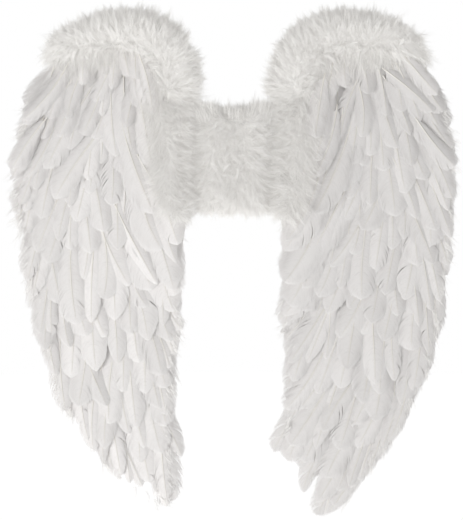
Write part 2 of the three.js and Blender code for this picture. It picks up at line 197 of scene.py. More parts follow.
def feather_material():
    # a faint warm emission on the vanes: painted glow standing in for light that passes through the thin feathers
    m = Mat("feather_vane", roughness=0.62, Sheen_Weight=0.25, Sheen_Roughness=0.5, Specular_IOR_Level=0.3, Emission_Strength=0.035)
    m.bsdf.inputs["Emission Color"].default_value = (1.0, 0.975, 0.965, 1)
    uv = m.node("ShaderNodeUVMap", uv_map="barb").outputs["UV"]
    sep = m.node("ShaderNodeSeparateXYZ")
    m.link(uv, sep.inputs[0])
    t, s = sep.outputs[0], sep.outputs[1]
    tone = m.node("ShaderNodeAttribute", attribute_name="tone").outputs["Fac"]
    wob = m.noise(90, 2, vector=uv)
    phase = m.math("MULTIPLY_ADD", s, 1150.0, m.math("MULTIPLY", wob, 9.0))
    lines = m.math("MULTIPLY_ADD", m.math("SINE", phase), 0.5, 0.5)
    cloud = m.noise(45, 4, 0.6)
    base = m.ramp(cloud, [(0.3, (0.865, 0.84, 0.828)), (0.7, (0.91, 0.892, 0.884))])
    toned = m.mix(tone, (0.74, 0.728, 0.718), (0.94, 0.924, 0.914))
    col = m.mix(0.6, base, toned)
    # barbs: hair-thin shade lines, and a little cream, darkened as painted shade, where the barbs meet the rachis
    col = m.mix(m.math("MULTIPLY", lines, 0.07), col, (0.66, 0.64, 0.62))
    # coarser dark streaks that run with the barbs, different on each feather: painted shade between groups of barbs
    place = m.node("ShaderNodeCombineXYZ")
    m.link(m.math("MULTIPLY", t, 2.2), place.inputs[0])
    m.link(m.math("MULTIPLY", s, 62.0), place.inputs[1])
    m.link(m.math("MULTIPLY", tone, 53.0), place.inputs[2])
    streak = m.noise(1.0, 3, 0.65, vector=place.outputs[0])
    dark = m.math("MULTIPLY", m.math("SUBTRACT", 0.5, streak), 2.4, clamp=True)
    col = m.mix(m.math("MULTIPLY", dark, 0.5), col, (0.60, 0.585, 0.58))
    # the outer part of each vane is painted brighter: a painted highlight for light coming through the thin edges
    rim = m.math("MULTIPLY", m.math("SUBTRACT", t, 0.72), 3.6, clamp=True)
    col = m.mix(m.math("MULTIPLY", rim, 0.45), col, (0.95, 0.94, 0.935))
    # a darker, warmer band next to the rachis: painted shade, the counterpart of the painted highlight at the vane
    # edges
    rachis_shade = m.math("SUBTRACT", 1.0, m.math("MULTIPLY", t, 7.0), clamp=True)
    col = m.mix(m.math("MULTIPLY", rachis_shade, 0.30), col, (0.66, 0.63, 0.58))
    m.colour(col)
    m.rough(m.math("MULTIPLY_ADD", cloud, 0.18, 0.52))
    m.bump(m.math("ADD", m.math("MULTIPLY", lines, 0.7), m.math("MULTIPLY", streak, 3.0)), 0.5, 0.00025)
    return m.mat


def rachis_material():
    m = Mat("feather_rachis", roughness=0.38, Coat_Weight=0.15)
    c = m.noise(120, 2)
    m.colour(m.ramp(c, [(0.3, (0.86, 0.83, 0.77)), (0.7, (0.92, 0.90, 0.86))]))
    m.bump(c, 0.2, 0.0001)
    return m.mat


def down_material(name, light=0.0, painted_glow=0.095):
    # the emission is a painted glow standing in for light scattered through the fine down
    m = Mat(name, roughness=0.85, Sheen_Weight=0.35, Sheen_Roughness=0.6, Specular_IOR_Level=0.2, Emission_Strength=painted_glow)
    m.bsdf.inputs["Emission Color"].default_value = (1.0, 0.985, 0.965, 1)
    tone = m.node("ShaderNodeAttribute", attribute_name="tone").outputs["Fac"]
    n = m.noise(60, 3)
    a = m.ramp(n, [(0.3, (0.84 + light, 0.829 + light, 0.81 + light)), (0.7, (0.90 + light, 0.892 + light, 0.877 + light))])
    col = m.mix(0.6, a, m.mix(tone, (0.80, 0.79, 0.772), (0.93, 0.923, 0.912)))
    m.colour(col)
    m.bump(n, 0.2, 0.0003)
    return m.mat


def weave_material(name, base, dark, pitch=0.0009, strength=0.35, rough=0.85, sheen=0.3, axes=("X", "Z")):
    """Plain weave in the object's own coordinates, with slubs and slight soiling."""
    m = Mat(name, roughness=rough, Sheen_Weight=sheen, Sheen_Roughness=0.5, Specular_IOR_Level=0.25)
    sep = m.node("ShaderNodeSeparateXYZ")
    m.link(m.coords(), sep.inputs[0])
    a = m.math("SINE", m.math("MULTIPLY", sep.outputs[axes[0]], 2 * math.pi / pitch))
    b = m.math("SINE", m.math("MULTIPLY", sep.outputs[axes[1]], 2 * math.pi / pitch))
    w = m.math("MULTIPLY_ADD", m.math("MULTIPLY", a, b), 0.5, 0.5)
    slub = m.noise(350, 2, 0.6)
    soil = m.noise(14, 3)
    h = m.math("ADD", m.math("MULTIPLY", w, 0.7), m.math("MULTIPLY", slub, 0.6))
    col = m.ramp(h, [(0.2, dark), (0.9, base)])
    col = m.mix(m.math("MULTIPLY", soil, 0.25), col, tuple(0.93 * v for v in base))
    m.colour(col)
    m.rough(m.math("MULTIPLY_ADD", slub, 0.15, rough - 0.1))
    m.bump(h, strength, 0.0002)
    return m.mat


def felt_material(name="stiff_felt"):
    m = Mat(name, roughness=0.95, Sheen_Weight=0.5, Sheen_Roughness=0.6, Specular_IOR_Level=0.15)
    fibre = m.node("ShaderNodeTexNoise")
    mp = m.node("ShaderNodeMapping")
    mp.inputs["Scale"].default_value = (900, 900, 240)
    m.link(m.coords(), mp.inputs["Vector"])
    m.link(mp.outputs[0], fibre.inputs["Vector"])
    fibre.inputs["Scale"].default_value = 1.0
    fibre.inputs["Detail"].default_value = 4.0
    fibre.inputs["Distortion"].default_value = 1.6
    f = fibre.outputs["Fac"]
    soil = m.noise(9, 4)
    col = m.ramp(f, [(0.3, (0.74, 0.725, 0.70)), (0.7, (0.86, 0.85, 0.83))])
    col = m.mix(m.math("MULTIPLY", soil, 0.3), col, (0.80, 0.78, 0.745))
    m.colour(col)
    m.bump(m.math("ADD", f, m.math("MULTIPLY", soil, 0.8)), 0.5, 0.0004)
    return m.mat


def metal_material(name, a, b, rough, scale):
    m = Mat(name, roughness=rough, Metallic=1.0)
    mp = m.node("ShaderNodeMapping")
    mp.inputs["Scale"].default_value = scale
    m.link(m.coords(), mp.inputs["Vector"])
    n = m.noise(1.0, 3, vector=mp.outputs[0])
    m.colour(m.ramp(n, [(0.3, a), (0.7, b)]))
    m.rough(m.math("MULTIPLY_ADD", n, 0.2, rough - 0.1))
    m.bump(n, 0.15, 0.0001)
    return m.mat


M_FEATHER = feather_material()
M_RACHIS = rachis_material()
M_DOWN = down_material("marabou_wisp")
# the core under the wisps gets a stronger painted glow to lift the shade it sits in
M_CORE = down_material("marabou_core", light=-0.01, painted_glow=0.12)
M_FELT = felt_material()
M_TAPE = weave_material("twill_tape", (0.87, 0.86, 0.83), (0.70, 0.685, 0.65), 0.0011, 0.5)
M_CUSHION = weave_material("brushed_cotton", (0.86, 0.85, 0.83), (0.76, 0.745, 0.72), 0.0008, 0.3, 0.9, 0.45)
M_LINING = weave_material("lining_weave", (0.885, 0.885, 0.88), (0.80, 0.80, 0.795), 0.0007, 0.3, 0.62, 0.25)
M_BOARD = weave_material("faced_board", (0.80, 0.79, 0.76), (0.72, 0.71, 0.68), 0.0015, 0.2, 0.8, 0.1)
M_WIRE = metal_material("drawn_steel", (0.50, 0.51, 0.52), (0.66, 0.67, 0.68), 0.34, (260, 260, 260))
M_CRIMP = metal_material("crimp_aluminium", (0.62, 0.62, 0.63), (0.76, 0.76, 0.77), 0.38, (500, 500, 120))
M_THREAD = weave_material("sewing_thread", (0.90, 0.89, 0.86), (0.78, 0.765, 0.73), 0.0004, 0.4, 0.7, 0.2)
M_ELASTIC = weave_material("ribbed_elastic", (0.89, 0.88, 0.86), (0.73, 0.72, 0.70), 0.0012, 0.6, 0.75, 0.25)


def dress(ob, *mats):
    ob.data.materials.clear()
    for m in mats:
        ob.data.materials.append(m)


# ---------------------------------------------------------------- the wings
# The same row planes as the solids: row k leans out by SLOPE from its top line.
ROW_PITCH, ROW_LENGTH, ROW_THICK, ROW_BACK, ROW_START = 43.1, 102.5, 3.9, -17.4, 131.6
SLOPE = 4.3 / 43.1
ZONE = {
    "left": np.array([
        [-196, 104], [-176, 117], [-157, 129], [-134, 136.5], [-111, 136.5], [-97, 129], [-86, 113],
        [-80, 94], [-77, 74], [-86, 64], [-86, -54], [-53, -54], [-53, -80], [-58, -95], [-58, -107],
        [-59.5, -133], [-63, -162], [-55.5, -188], [-55.5, -199], [-61, -214], [-65, -238], [-69.5, -246],
        [-63.5, -264], [-71.5, -281], [-69.5, -292], [-70.5, -325], [-67, -358], [-68.5, -390],
        [-79, -400], [-95, -386], [-115, -382.5], [-141.5, -370.5], [-160, -352], [-170.5, -333],
        [-184.5, -306.5], [-202, -291], [-208, -272.5], [-217, -236.5], [-227.5, -211], [-237, -169],
        [-246.5, -138.5], [-251, -96.5], [-260, -68.5], [-260.5, -41], [-266, -13], [-260.5, 13],
        [-252, 43], [-247, 71], [-236, 92], [-229, 108], [-216, 113]], float),
    "right": np.array([
        [206, 103], [189, 118], [169, 131], [145, 136], [121, 134.5], [103, 127], [90, 112],
        [81, 94], [78, 74], [86, 64], [86, -54], [53, -54], [53, -91], [50.5, -120], [54, -140],
        [52, -165], [50, -202], [58.5, -222], [58.5, -245], [54.5, -272], [57, -300], [59.5, -329],
        [55.5, -345], [76, -358], [84, -368], [91.5, -378], [90, -400], [99, -413.5], [112, -414],
        [129, -402], [135, -390], [147, -384], [161, -368], [174, -347], [189, -324], [203, -305.5],
        [214, -280], [223, -263], [232.5, -248], [233.5, -225], [243.5, -196], [246, -161], [257, -126],
        [260.5, -91], [262, -51], [263.5, -13], [261, 13], [257, 45], [249, 70], [240, 92], [232, 108], [222, 114]], float),
}
SIDE = {"left": -1.0, "right": 1.0}


def row_top(k, ax):
    """Top line of row k at distance ax from the middle."""
    inner = np.where(ax < 144, np.minimum(1.25, (144 - ax) / 64), 0)
    outer = np.where(ax > 144, (ax - 144) / 76, 0)
    arch = max(0.0, 1 - k * 0.2) * (76 * inner ** 2 + 20 * outer ** 2)
    tilt = min(1.0, max(0.0, (k - 2) / 4)) * 0.2 * np.minimum(0, 57 - ax)
    return ROW_START - k * ROW_PITCH - arch + tilt


def row_depth(k, z):
    """y of the middle of row k's slab at height z, in mm."""
    return ROW_BACK - ROW_THICK / 2 - SLOPE * (ROW_START - k * ROW_PITCH - z)


def span_at(poly, z):
    """Lowest and highest |x| of the zone at height z."""
    p, q = poly, np.roll(poly, -1, axis=0)
    lo, hi = 1e9, -1e9
    for a, b in zip(p, q):
        if (a[1] - z) * (b[1] - z) <= 0 and a[1] != b[1]:
            x = abs(a[0] + (b[0] - a[0]) * (z - a[1]) / (b[1] - a[1]))
            lo, hi = min(lo, x), max(hi, x)
    return (lo, hi) if hi > 0 else (None, None)


def floor_at(poly, ax):
    """Lowest z of the zone at distance ax from the middle."""
    p, q = poly, np.roll(poly, -1, axis=0)
    low = 1e9
    for a, b in zip(p, q):
        if (abs(a[0]) - ax) * (abs(b[0]) - ax) <= 0 and a[0] != b[0]:
            z = a[1] + (b[1] - a[1]) * (ax - abs(a[0])) / (abs(b[0]) - abs(a[0]))
            low = min(low, z)
    return low if low < 1e8 else None


def roof_at(poly, ax):
    """Highest z of the zone at distance ax from the middle."""
    p, q = poly, np.roll(poly, -1, axis=0)
    high = -1e9
    for a, b in zip(p, q):
        if (abs(a[0]) - ax) * (abs(b[0]) - ax) <= 0 and a[0] != b[0]:
            high = max(high, a[1] + (b[1] - a[1]) * (ax - abs(a[0])) / (abs(b[0]) - abs(a[0])))
    return high if high > -1e8 else None


def lie(side, ax, z):
    """Angle in degrees of the feathers' lie at a place: 0 hangs straight down, positive leans outwards."""
    u = np.clip((ax - 57) / 203, 0, 1)
    v = np.clip((135 - z) / 540, 0, 1)
    keys_v = [0.0, 0.22, 0.5, 0.78, 1.0]
    if side == "left":
        inner, outer = [-34, -31, -22, -16, -14], [60, 32, 8, -3, -8]
    else:
        inner, outer = [-32, -36, -34, -28, -20], [56, 32, 12, -6, -26]
    a = np.interp(v, keys_v, inner)
    b = np.interp(v, keys_v, outer)
    return a + (b - a) * u


Y_LIMIT, Z_LIMIT = -58.5, 189.0  # nothing grows past these, in mm
N_STRIP = 54
N_T = 6
S_RACH = 14


def feather_batch(name, specs):
    """One mesh for a list of feathers. Each spec holds tip (ax, z), length, half width, row and small random turns."""
    cos, quads, tris, barb, bake, tone = [], [], [], [], [], []
    mats = []
    at = 0
    cols = max(1, int(math.ceil(math.sqrt(len(specs) / 2.2))))
    rows_ = int(math.ceil(len(specs) / cols))
    for f, sp in enumerate(specs):
        side, sgn = sp["side"], SIDE[sp["side"]]
        # rachis line in (ax, z), walked up from the tip against the lie
        n = 28
        step = sp["length"] / n
        pts = [np.array(sp["tip"], float)]
        for i in range(n):
            ax, z = pts[-1]
            ang = math.radians(float(lie(side, ax, z)) + sp["turn"] + sp["bend"] * (i / n - 0.3))
            pts.append(pts[-1] - step * np.array([math.sin(ang), -math.cos(ang)]))
        line = np.array(pts[::-1])  # base to tip
        s_line = np.linspace(0, 1, n + 1)

        def at_s(s):
            return np.stack([np.interp(s, s_line, line[:, 0]), np.interp(s, s_line, line[:, 1])], -1)

        tan = unit(np.gradient(line, axis=0))

        def tan_s(s):
            return unit(np.stack([np.interp(s, s_line, tan[:, 0]), np.interp(s, s_line, tan[:, 1])], -1))

        L, W = sp["length"], sp["half"]
        r = np.random.default_rng(sp["seed"])
        grown = sp.get("rough", 1.0)
        cell_u, cell_v = (f % cols) / cols, (f // cols) / rows_
        du, dv = 0.94 / cols, 0.94 / rows_

        def lift(s, b):
            """How far out of the row's plane a point stands, in mm."""
            c = -sp["camber"] * np.abs(b / W) ** 1.35
            bow = sp["bow"] * (np.sin(math.pi * np.clip(s, 0, 1)) * 0.6)
            tipup = sp["tipup"] * np.clip((s - 0.62) / 0.38, 0, 1.4) ** 2
            return c + bow + tipup + sp["roll"] * b + sp["out"]

        for sd in (-1.0, 1.0):
            edges = np.linspace(0.07, 1.0, N_STRIP + 1)
            edges = edges + 0 * edges
            # clumps of barbs that hold together
            cuts = [0]
            while cuts[-1] < N_STRIP:
                low = edges[min(cuts[-1], N_STRIP)] < 0.3
                cuts.append(cuts[-1] + int(r.integers(2, 6) if low else r.integers(6, 20)))
            cuts[-1] = N_STRIP
            clump = np.zeros(N_STRIP, int)
            for c, (a, b) in enumerate(zip(cuts[:-1], cuts[1:])):
                clump[a:b] = c
            nc = len(cuts) - 1
            mid = np.array([(edges[a] + edges[b]) / 2 for a, b in zip(cuts[:-1], cuts[1:])])
            pull = r.uniform(0.0, 0.05, nc) + np.where(r.random(nc) < 0.16 * grown, r.uniform(0.05, 0.26, nc), 0) + 0.12 * max(0, grown - 1.2)
            pull[mid < 0.3] += 0.25
            swing = r.normal(0, 0.35, nc) * grown
            rise = r.normal(0, 0.16, nc)
            wave = r.uniform(0, 6.28)
            jag = r.normal(0, 0.024 * grown, N_STRIP) - np.where(r.random(N_STRIP) < 0.02 * grown, r.uniform(0.05, 0.25, N_STRIP), 0)

            def barb_points(s0, strip):
                """Points along the barb that leaves the rachis at s0, for each strip: (n, N_T, 2) in-plane, and lateral distance."""
                prof = np.where(
                    s0 < 0.52,
                    0.50 + 0.50 * np.sin(0.5 * math.pi * np.clip((s0 - 0.02) / 0.5, 0, 1)) ** 0.9,
                    np.clip(1 - (np.clip(s0 - 0.52, 0, 1) / 0.48) ** sp["blunt"], 0, 1) ** 0.7,
                )
                width = W * prof * (1 + 0.035 * np.sin(9 * s0 + wave))
                fwd = W * (0.62 + 0.38 * prof) * sp["sweep"] * np.where(s0 > 0.74, 1 - 2.5 * (s0 - 0.74), 1)
                # the tips of one clump draw together
                along = (mid[clump[strip]] - s0) * L * pull[clump[strip]]
                t = np.linspace(0, 1, N_T)[None, :]
                lat = width[:, None] * (1 - (1 - t) ** 1.35)
                fo = fwd[:, None] * t ** 1.5 + (along[:, None] + swing[clump[strip]][:, None]) * t ** 2
                lat = lat * (1 + jag[strip][:, None] * t)
                return lat, fo, t

            strip = np.arange(N_STRIP)
            for which, s0 in ((0, edges[:-1]), (1, edges[1:])):
                lat, fo, t = barb_points(s0, strip)
                root, tg = at_s(s0), tan_s(s0)
                nrm = np.stack([tg[:, 1], -tg[:, 0]], -1) * sd
                p = root[:, None, :] + tg[:, None, :] * fo[..., None] + nrm[:, None, :] * lat[..., None]
                s_eff = s0[:, None] + fo / L
                o = lift(s_eff, lat * sd) + rise[clump[strip]][:, None] * t ** 2 + (0.10 if which else 0.0) * t
                if which == 0:
                    A, SA, OA = p, s_eff, o
                else:
                    B, SB, OB = p, s_eff, o
            # free barb ends past the joined vane
            end_a, end_b = A[:, -1], B[:, -1]
            out_dir = (A[:, -1] - A[:, -2] + B[:, -1] - B[:, -2]) / 2
            tip_len = (r.uniform(0.35, 1.2, N_STRIP) + (r.random(N_STRIP) < 0.15) * r.uniform(0.2, 1.0, N_STRIP))[:, None] * (0.35 + 0.5 * grown)
            T = (end_a + end_b) / 2 + out_dir * tip_len
            OT = (OA[:, -1] + OB[:, -1]) / 2 - r.uniform(0, 0.4, N_STRIP)
            grid = np.stack([A, B], 2)  # strip, t, 2, 2
            depth = np.stack([OA, OB], 2)
            flat = grid.reshape(-1, 2)
            dep = depth.reshape(-1)
            allp = np.concatenate([flat, T])
            alld = np.concatenate([dep, OT])
            y = np.maximum(row_depth(sp["row"], allp[:, 1]) - alld, Y_LIMIT)
            cos.append(np.stack([sgn * allp[:, 0], y, allp[:, 1]], -1))
            i = (strip[:, None, None] * N_T + np.arange(N_T - 1)[None, :, None]) * 2
            q = np.concatenate([i, i + 1, i + 3, i + 2], 2).reshape(-1, 4)
            last = (strip * N_T + N_T - 1) * 2
            tr = np.stack([last, last + 1, N_STRIP * N_T * 2 + strip], -1)
            if sd * sgn > 0:
                q, tr = q[:, ::-1], tr[:, ::-1]
            quads.append(q + at)
            tris.append(tr + at)
            tt = np.broadcast_to(np.linspace(0, 1, N_T)[None, :, None], (N_STRIP, N_T, 2))
            ss = np.stack([np.broadcast_to(edges[:-1, None], (N_STRIP, N_T)), np.broadcast_to(edges[1:, None], (N_STRIP, N_T))], 2)
            uvb = np.concatenate([np.stack([tt.ravel(), ss.ravel()], -1), np.stack([np.full(N_STRIP, 1.05), (edges[:-1] + edges[1:]) / 2], -1)])
            barb.append(uvb)
            bu = cell_u + du * (0.5 + sd * (0.03 + 0.45 * np.clip(uvb[:, 0] / 1.05, 0, 1)))
            bv = cell_v + dv * (0.02 + 0.96 * (uvb[:, 1] - 0.07) / 0.93)
            bake.append(np.stack([bu, bv], -1))
            tone.append(np.full(len(allp), sp["tone"]))
            at += len(allp)
            mats.append(np.zeros(len(q), int))
        # rachis: a fine tapering shaft that stands a little out of the vane
        s = np.linspace(-0.02, 0.985, S_RACH)
        c, tg = at_s(np.clip(s, 0, 1)), tan_s(np.clip(s, 0, 1))
        nrm = np.stack([tg[:, 1], -tg[:, 0]], -1)
        rad = np.interp(s, [0, 0.3, 0.7, 1], [0.95, 0.62, 0.36, 0.12])
        o = lift(s, np.zeros(S_RACH))
        ring = []
        for ang in np.arange(5) * 2 * math.pi / 5:
            off = nrm * (rad * math.cos(ang))[:, None]
            p = c + off
            y = row_depth(sp["row"], p[:, 1]) - o - rad * math.sin(ang) * 0.8 - 0.22
            ring.append(np.stack([sgn * p[:, 0], y, p[:, 1]], -1))
        ring = np.stack(ring, 1).reshape(-1, 3)
        j = np.arange(5)
        i = np.arange(S_RACH - 1)[:, None] * 5
        q = np.stack([i + j, i + (j + 1) % 5, i + 5 + (j + 1) % 5, i + 5 + j], -1).reshape(-1, 4)
        if sgn < 0:
            q = q[:, ::-1]
        cos.append(ring)
        quads.append(q + at)
        k = np.arange(len(ring))
        barb.append(np.stack([np.zeros(len(ring)), np.repeat(s, 5)], -1))
        bake.append(np.stack([cell_u + du * (0.485 + 0.03 * (k % 5) / 4), cell_v + dv * np.clip(np.repeat(s, 5), 0.01, 0.99)], -1))
        tone.append(np.full(len(ring), sp["tone"]))
        at += len(ring)
        mats.append(np.ones(len(q), int))
    co = np.concatenate(cos) * MM
    ob = mesh_object(
        name, co, np.concatenate(quads), np.concatenate(tris),
        layers={"barb": np.concatenate(barb), "OFBake": np.concatenate(bake)},
        points={"tone": np.concatenate(tone)},
    )
    dress(ob, M_FEATHER, M_RACHIS)
    index = np.concatenate(mats + [np.zeros(sum(len(t) for t in tris), int)])
    if len(index) == len(ob.data.polygons):
        ob.data.polygons.foreach_set("material_index", index.astype(np.int32))
    return ob


def spec(side, row, ax, z, r, **over):
    slim = r.random() < 0.28
    wispy = 1.2 if side == "right" else 1.0
    # the right wing's feathers take a darker range of tone than the left: painted shade for light that falls off
    # towards the right
    sp = {
        "side": side, "row": row, "tip": (ax, z), "length": r.uniform(98, 122), "half": r.uniform(10.0, 13.0) if slim else r.uniform(14.0, 19.5),
        "turn": r.normal(0, 8.5), "bend": r.normal(0, 17), "camber": r.uniform(2.2, 4.6), "bow": r.uniform(-0.2, 1.6),
        "tipup": r.normal(-1.1, 1.0), "roll": r.normal(0, 0.09), "out": r.normal(0, 0.6), "tone": r.uniform(0.1, 1) if side == "left" else r.uniform(0, 0.6),
        "seed": int(r.integers(1, 1 << 30)), "rough": r.uniform(0.25, 1.15) * wispy, "blunt": r.uniform(1.35, 2.3), "sweep": r.uniform(0.95, 1.45),
    }
    sp.update(over)
    # the left wing's outermost feathers are painted darker: painted shade towards that edge
    if side == "left" and ax > 190:
        sp["tone"] *= 0.45
    # the quill end stays under the trim
    base_ax = ax - sp["length"] * math.sin(math.radians(float(lie(side, ax, z)) + sp["turn"]))
    roof = roof_at(ZONE[side], float(np.clip(base_ax, 56, 225)))
    if roof is not None:
        sp["length"] = min(sp["length"], max(38.0, roof + 14 - z))
        sp["half"] = min(sp["half"], sp["length"] * 0.19)
    return sp


def plan_wing(side):
    r = np.random.default_rng(77 if side == "left" else 91)
    poly = ZONE[side]
    plan = {k: [] for k in range(11)}
    for half_row in range(0, 19):
        k = -2.5 + half_row * 0.7
        pitch = 26.0
        start = 60 + (pitch / 2 if half_row % 2 else 0) + r.uniform(-3, 3)
        for ax in np.arange(start - pitch, 275, pitch):
            ax = ax + r.normal(0, 3.5)
            z = float(row_top(k, ax)) - ROW_LENGTH + r.uniform(-16, 16)
            lo, hi = span_at(poly, z + 6)
            if lo is None:
                low = floor_at(poly, ax)
                if low is None or z < low - 24 or z > low + 60:
                    continue
                z = low + r.uniform(1, 6)
                lo, hi = span_at(poly, z + 6)
                if lo is None:
                    continue
            if ax < lo - 9 or ax > hi + 9:
                continue
            low = floor_at(poly, np.clip(ax, lo + 3, hi - 3))
            if low is not None and z < low + 2:
                if z < low - 24:
                    continue
                z = low + r.uniform(1, 6)
            edge = min(max(ax, lo + 9.0), hi - 8.0)
            outer = ax > hi - 24
            over = {}
            if outer:
                over = {"turn": r.normal(3, 7), "rough": r.uniform(0.9, 1.8), "half": r.uniform(9, 14)}
            roof = roof_at(poly, float(np.clip(edge, 56, 225)))
            if roof is not None and z > roof - 26:
                continue
            if k < 0:
                over["half"] = r.uniform(9.5, 15.0)
                over["length"] = r.uniform(62, 90)
                over["rough"] = r.uniform(0.7, 1.5)
            plan[int(np.clip(math.floor(k), 0, 10))].append(spec(side, k, edge, z, r, **over))
    # feathers whose tips make the outline, from the trim's outer end down, round the tip and up the inner edge
    ring = np.abs(poly) * [1, 0] + poly * [0, 1]
    whole = np.vstack([ring, ring[:1]])
    run = np.concatenate([[0], np.cumsum(np.linalg.norm(np.diff(whole, axis=0), axis=1))])
    at = 0.0
    while at < run[-1]:
        p = np.array([np.interp(at, run, whole[:, i]) for i in range(2)])
        q = np.array([np.interp(min(at + 6, run[-1]), run, whole[:, i]) for i in range(2)])
        o = np.array([np.interp(max(at - 6, 0), run, whole[:, i]) for i in range(2)])
        at += r.uniform(13, 19)
        ax, z = p
        if z > 88 or (ax < 90 and z > -62):
            continue
        out = unit(np.array([(q - o)[1], -(q - o)[0]]))
        if (out * (p - np.array([155.0, -80.0]) * [1, 1])).sum() < 0 and z > -330:
            out = -out
        if z <= -330 and out[1] > 0:
            out = -out
        half = r.uniform(9.5, 14.5)
        turn = r.normal(4 if ax > 150 else -3, 6)
        ang = math.radians(float(lie(side, ax, z)) + turn)
        lateral = np.array([math.cos(ang), math.sin(ang)])
        tip = p - out * (0.72 * half * abs(float(lateral @ out)) + r.uniform(-1.5, 3.5))
        k = (ROW_START - ROW_LENGTH - tip[1]) / ROW_PITCH + r.uniform(0.2, 0.7)
        k = float(np.clip(k, 0, 10.3))
        plan[int(np.clip(math.floor(k), 0, 10))].append(
            spec(side, k, float(tip[0]), float(tip[1]), r, half=half, turn=turn, rough=r.uniform(0.8, 1.7), length=r.uniform(84, 108), out=r.normal(-0.6, 0.4)))
    return plan


for side in ("left", "right"):
    plan = plan_wing(side)
    for k in range(11):
        piece = feather_batch(f"{side}_feathers_{k + 1:02d}", plan[k])
        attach(piece, f"{side}_wing")
        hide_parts(f"{side}_feather_row_{k + 1:02d}")
    print(side, "feathers", sum(len(v) for v in plan.values()))


# ------------------------------------------------------------------ marabou
def surface_samples(ob, count, r):
    """Points and normals spread over a mesh by area."""
    me = ob.data
    me.calc_loop_triangles()
    tri = np.zeros(len(me.loop_triangles) * 3, np.int32)
    me.loop_triangles.foreach_get("vertices", tri)
    tri = tri.reshape(-1, 3)
    co = np.zeros(len(me.vertices) * 3, np.float32)
    me.vertices.foreach_get("co", co)
    co = co.reshape(-1, 3).astype(float)
    a, b, c = co[tri[:, 0]], co[tri[:, 1]], co[tri[:, 2]]
    n = np.cross(b - a, c - a)
    area = np.linalg.norm(n, axis=1) / 2
    n = unit(n)
    pick = r.choice(len(tri), size=count, p=area / area.sum())
    u, v = r.random(count), r.random(count)
    flip = u + v > 1
    u[flip], v[flip] = 1 - u[flip], 1 - v[flip]
    p = a[pick] + (b[pick] - a[pick]) * u[:, None] + (c[pick] - a[pick]) * v[:, None]
    return p, n[pick], area.sum()


def swirl_at(p):
    ph = p * np.array([61.0, 47.0, 53.0])
    return np.stack([
        np.sin(ph[:, 2] * 1.3 + 1.1) + np.sin(ph[:, 0] * 2.1 + ph[:, 1]),
        np.sin(ph[:, 0] * 1.7 + 0.4) * 0.5,
        np.cos(ph[:, 0] * 1.5 - ph[:, 2] * 0.8) + np.sin(ph[:, 1] * 2.3),
    ], -1)


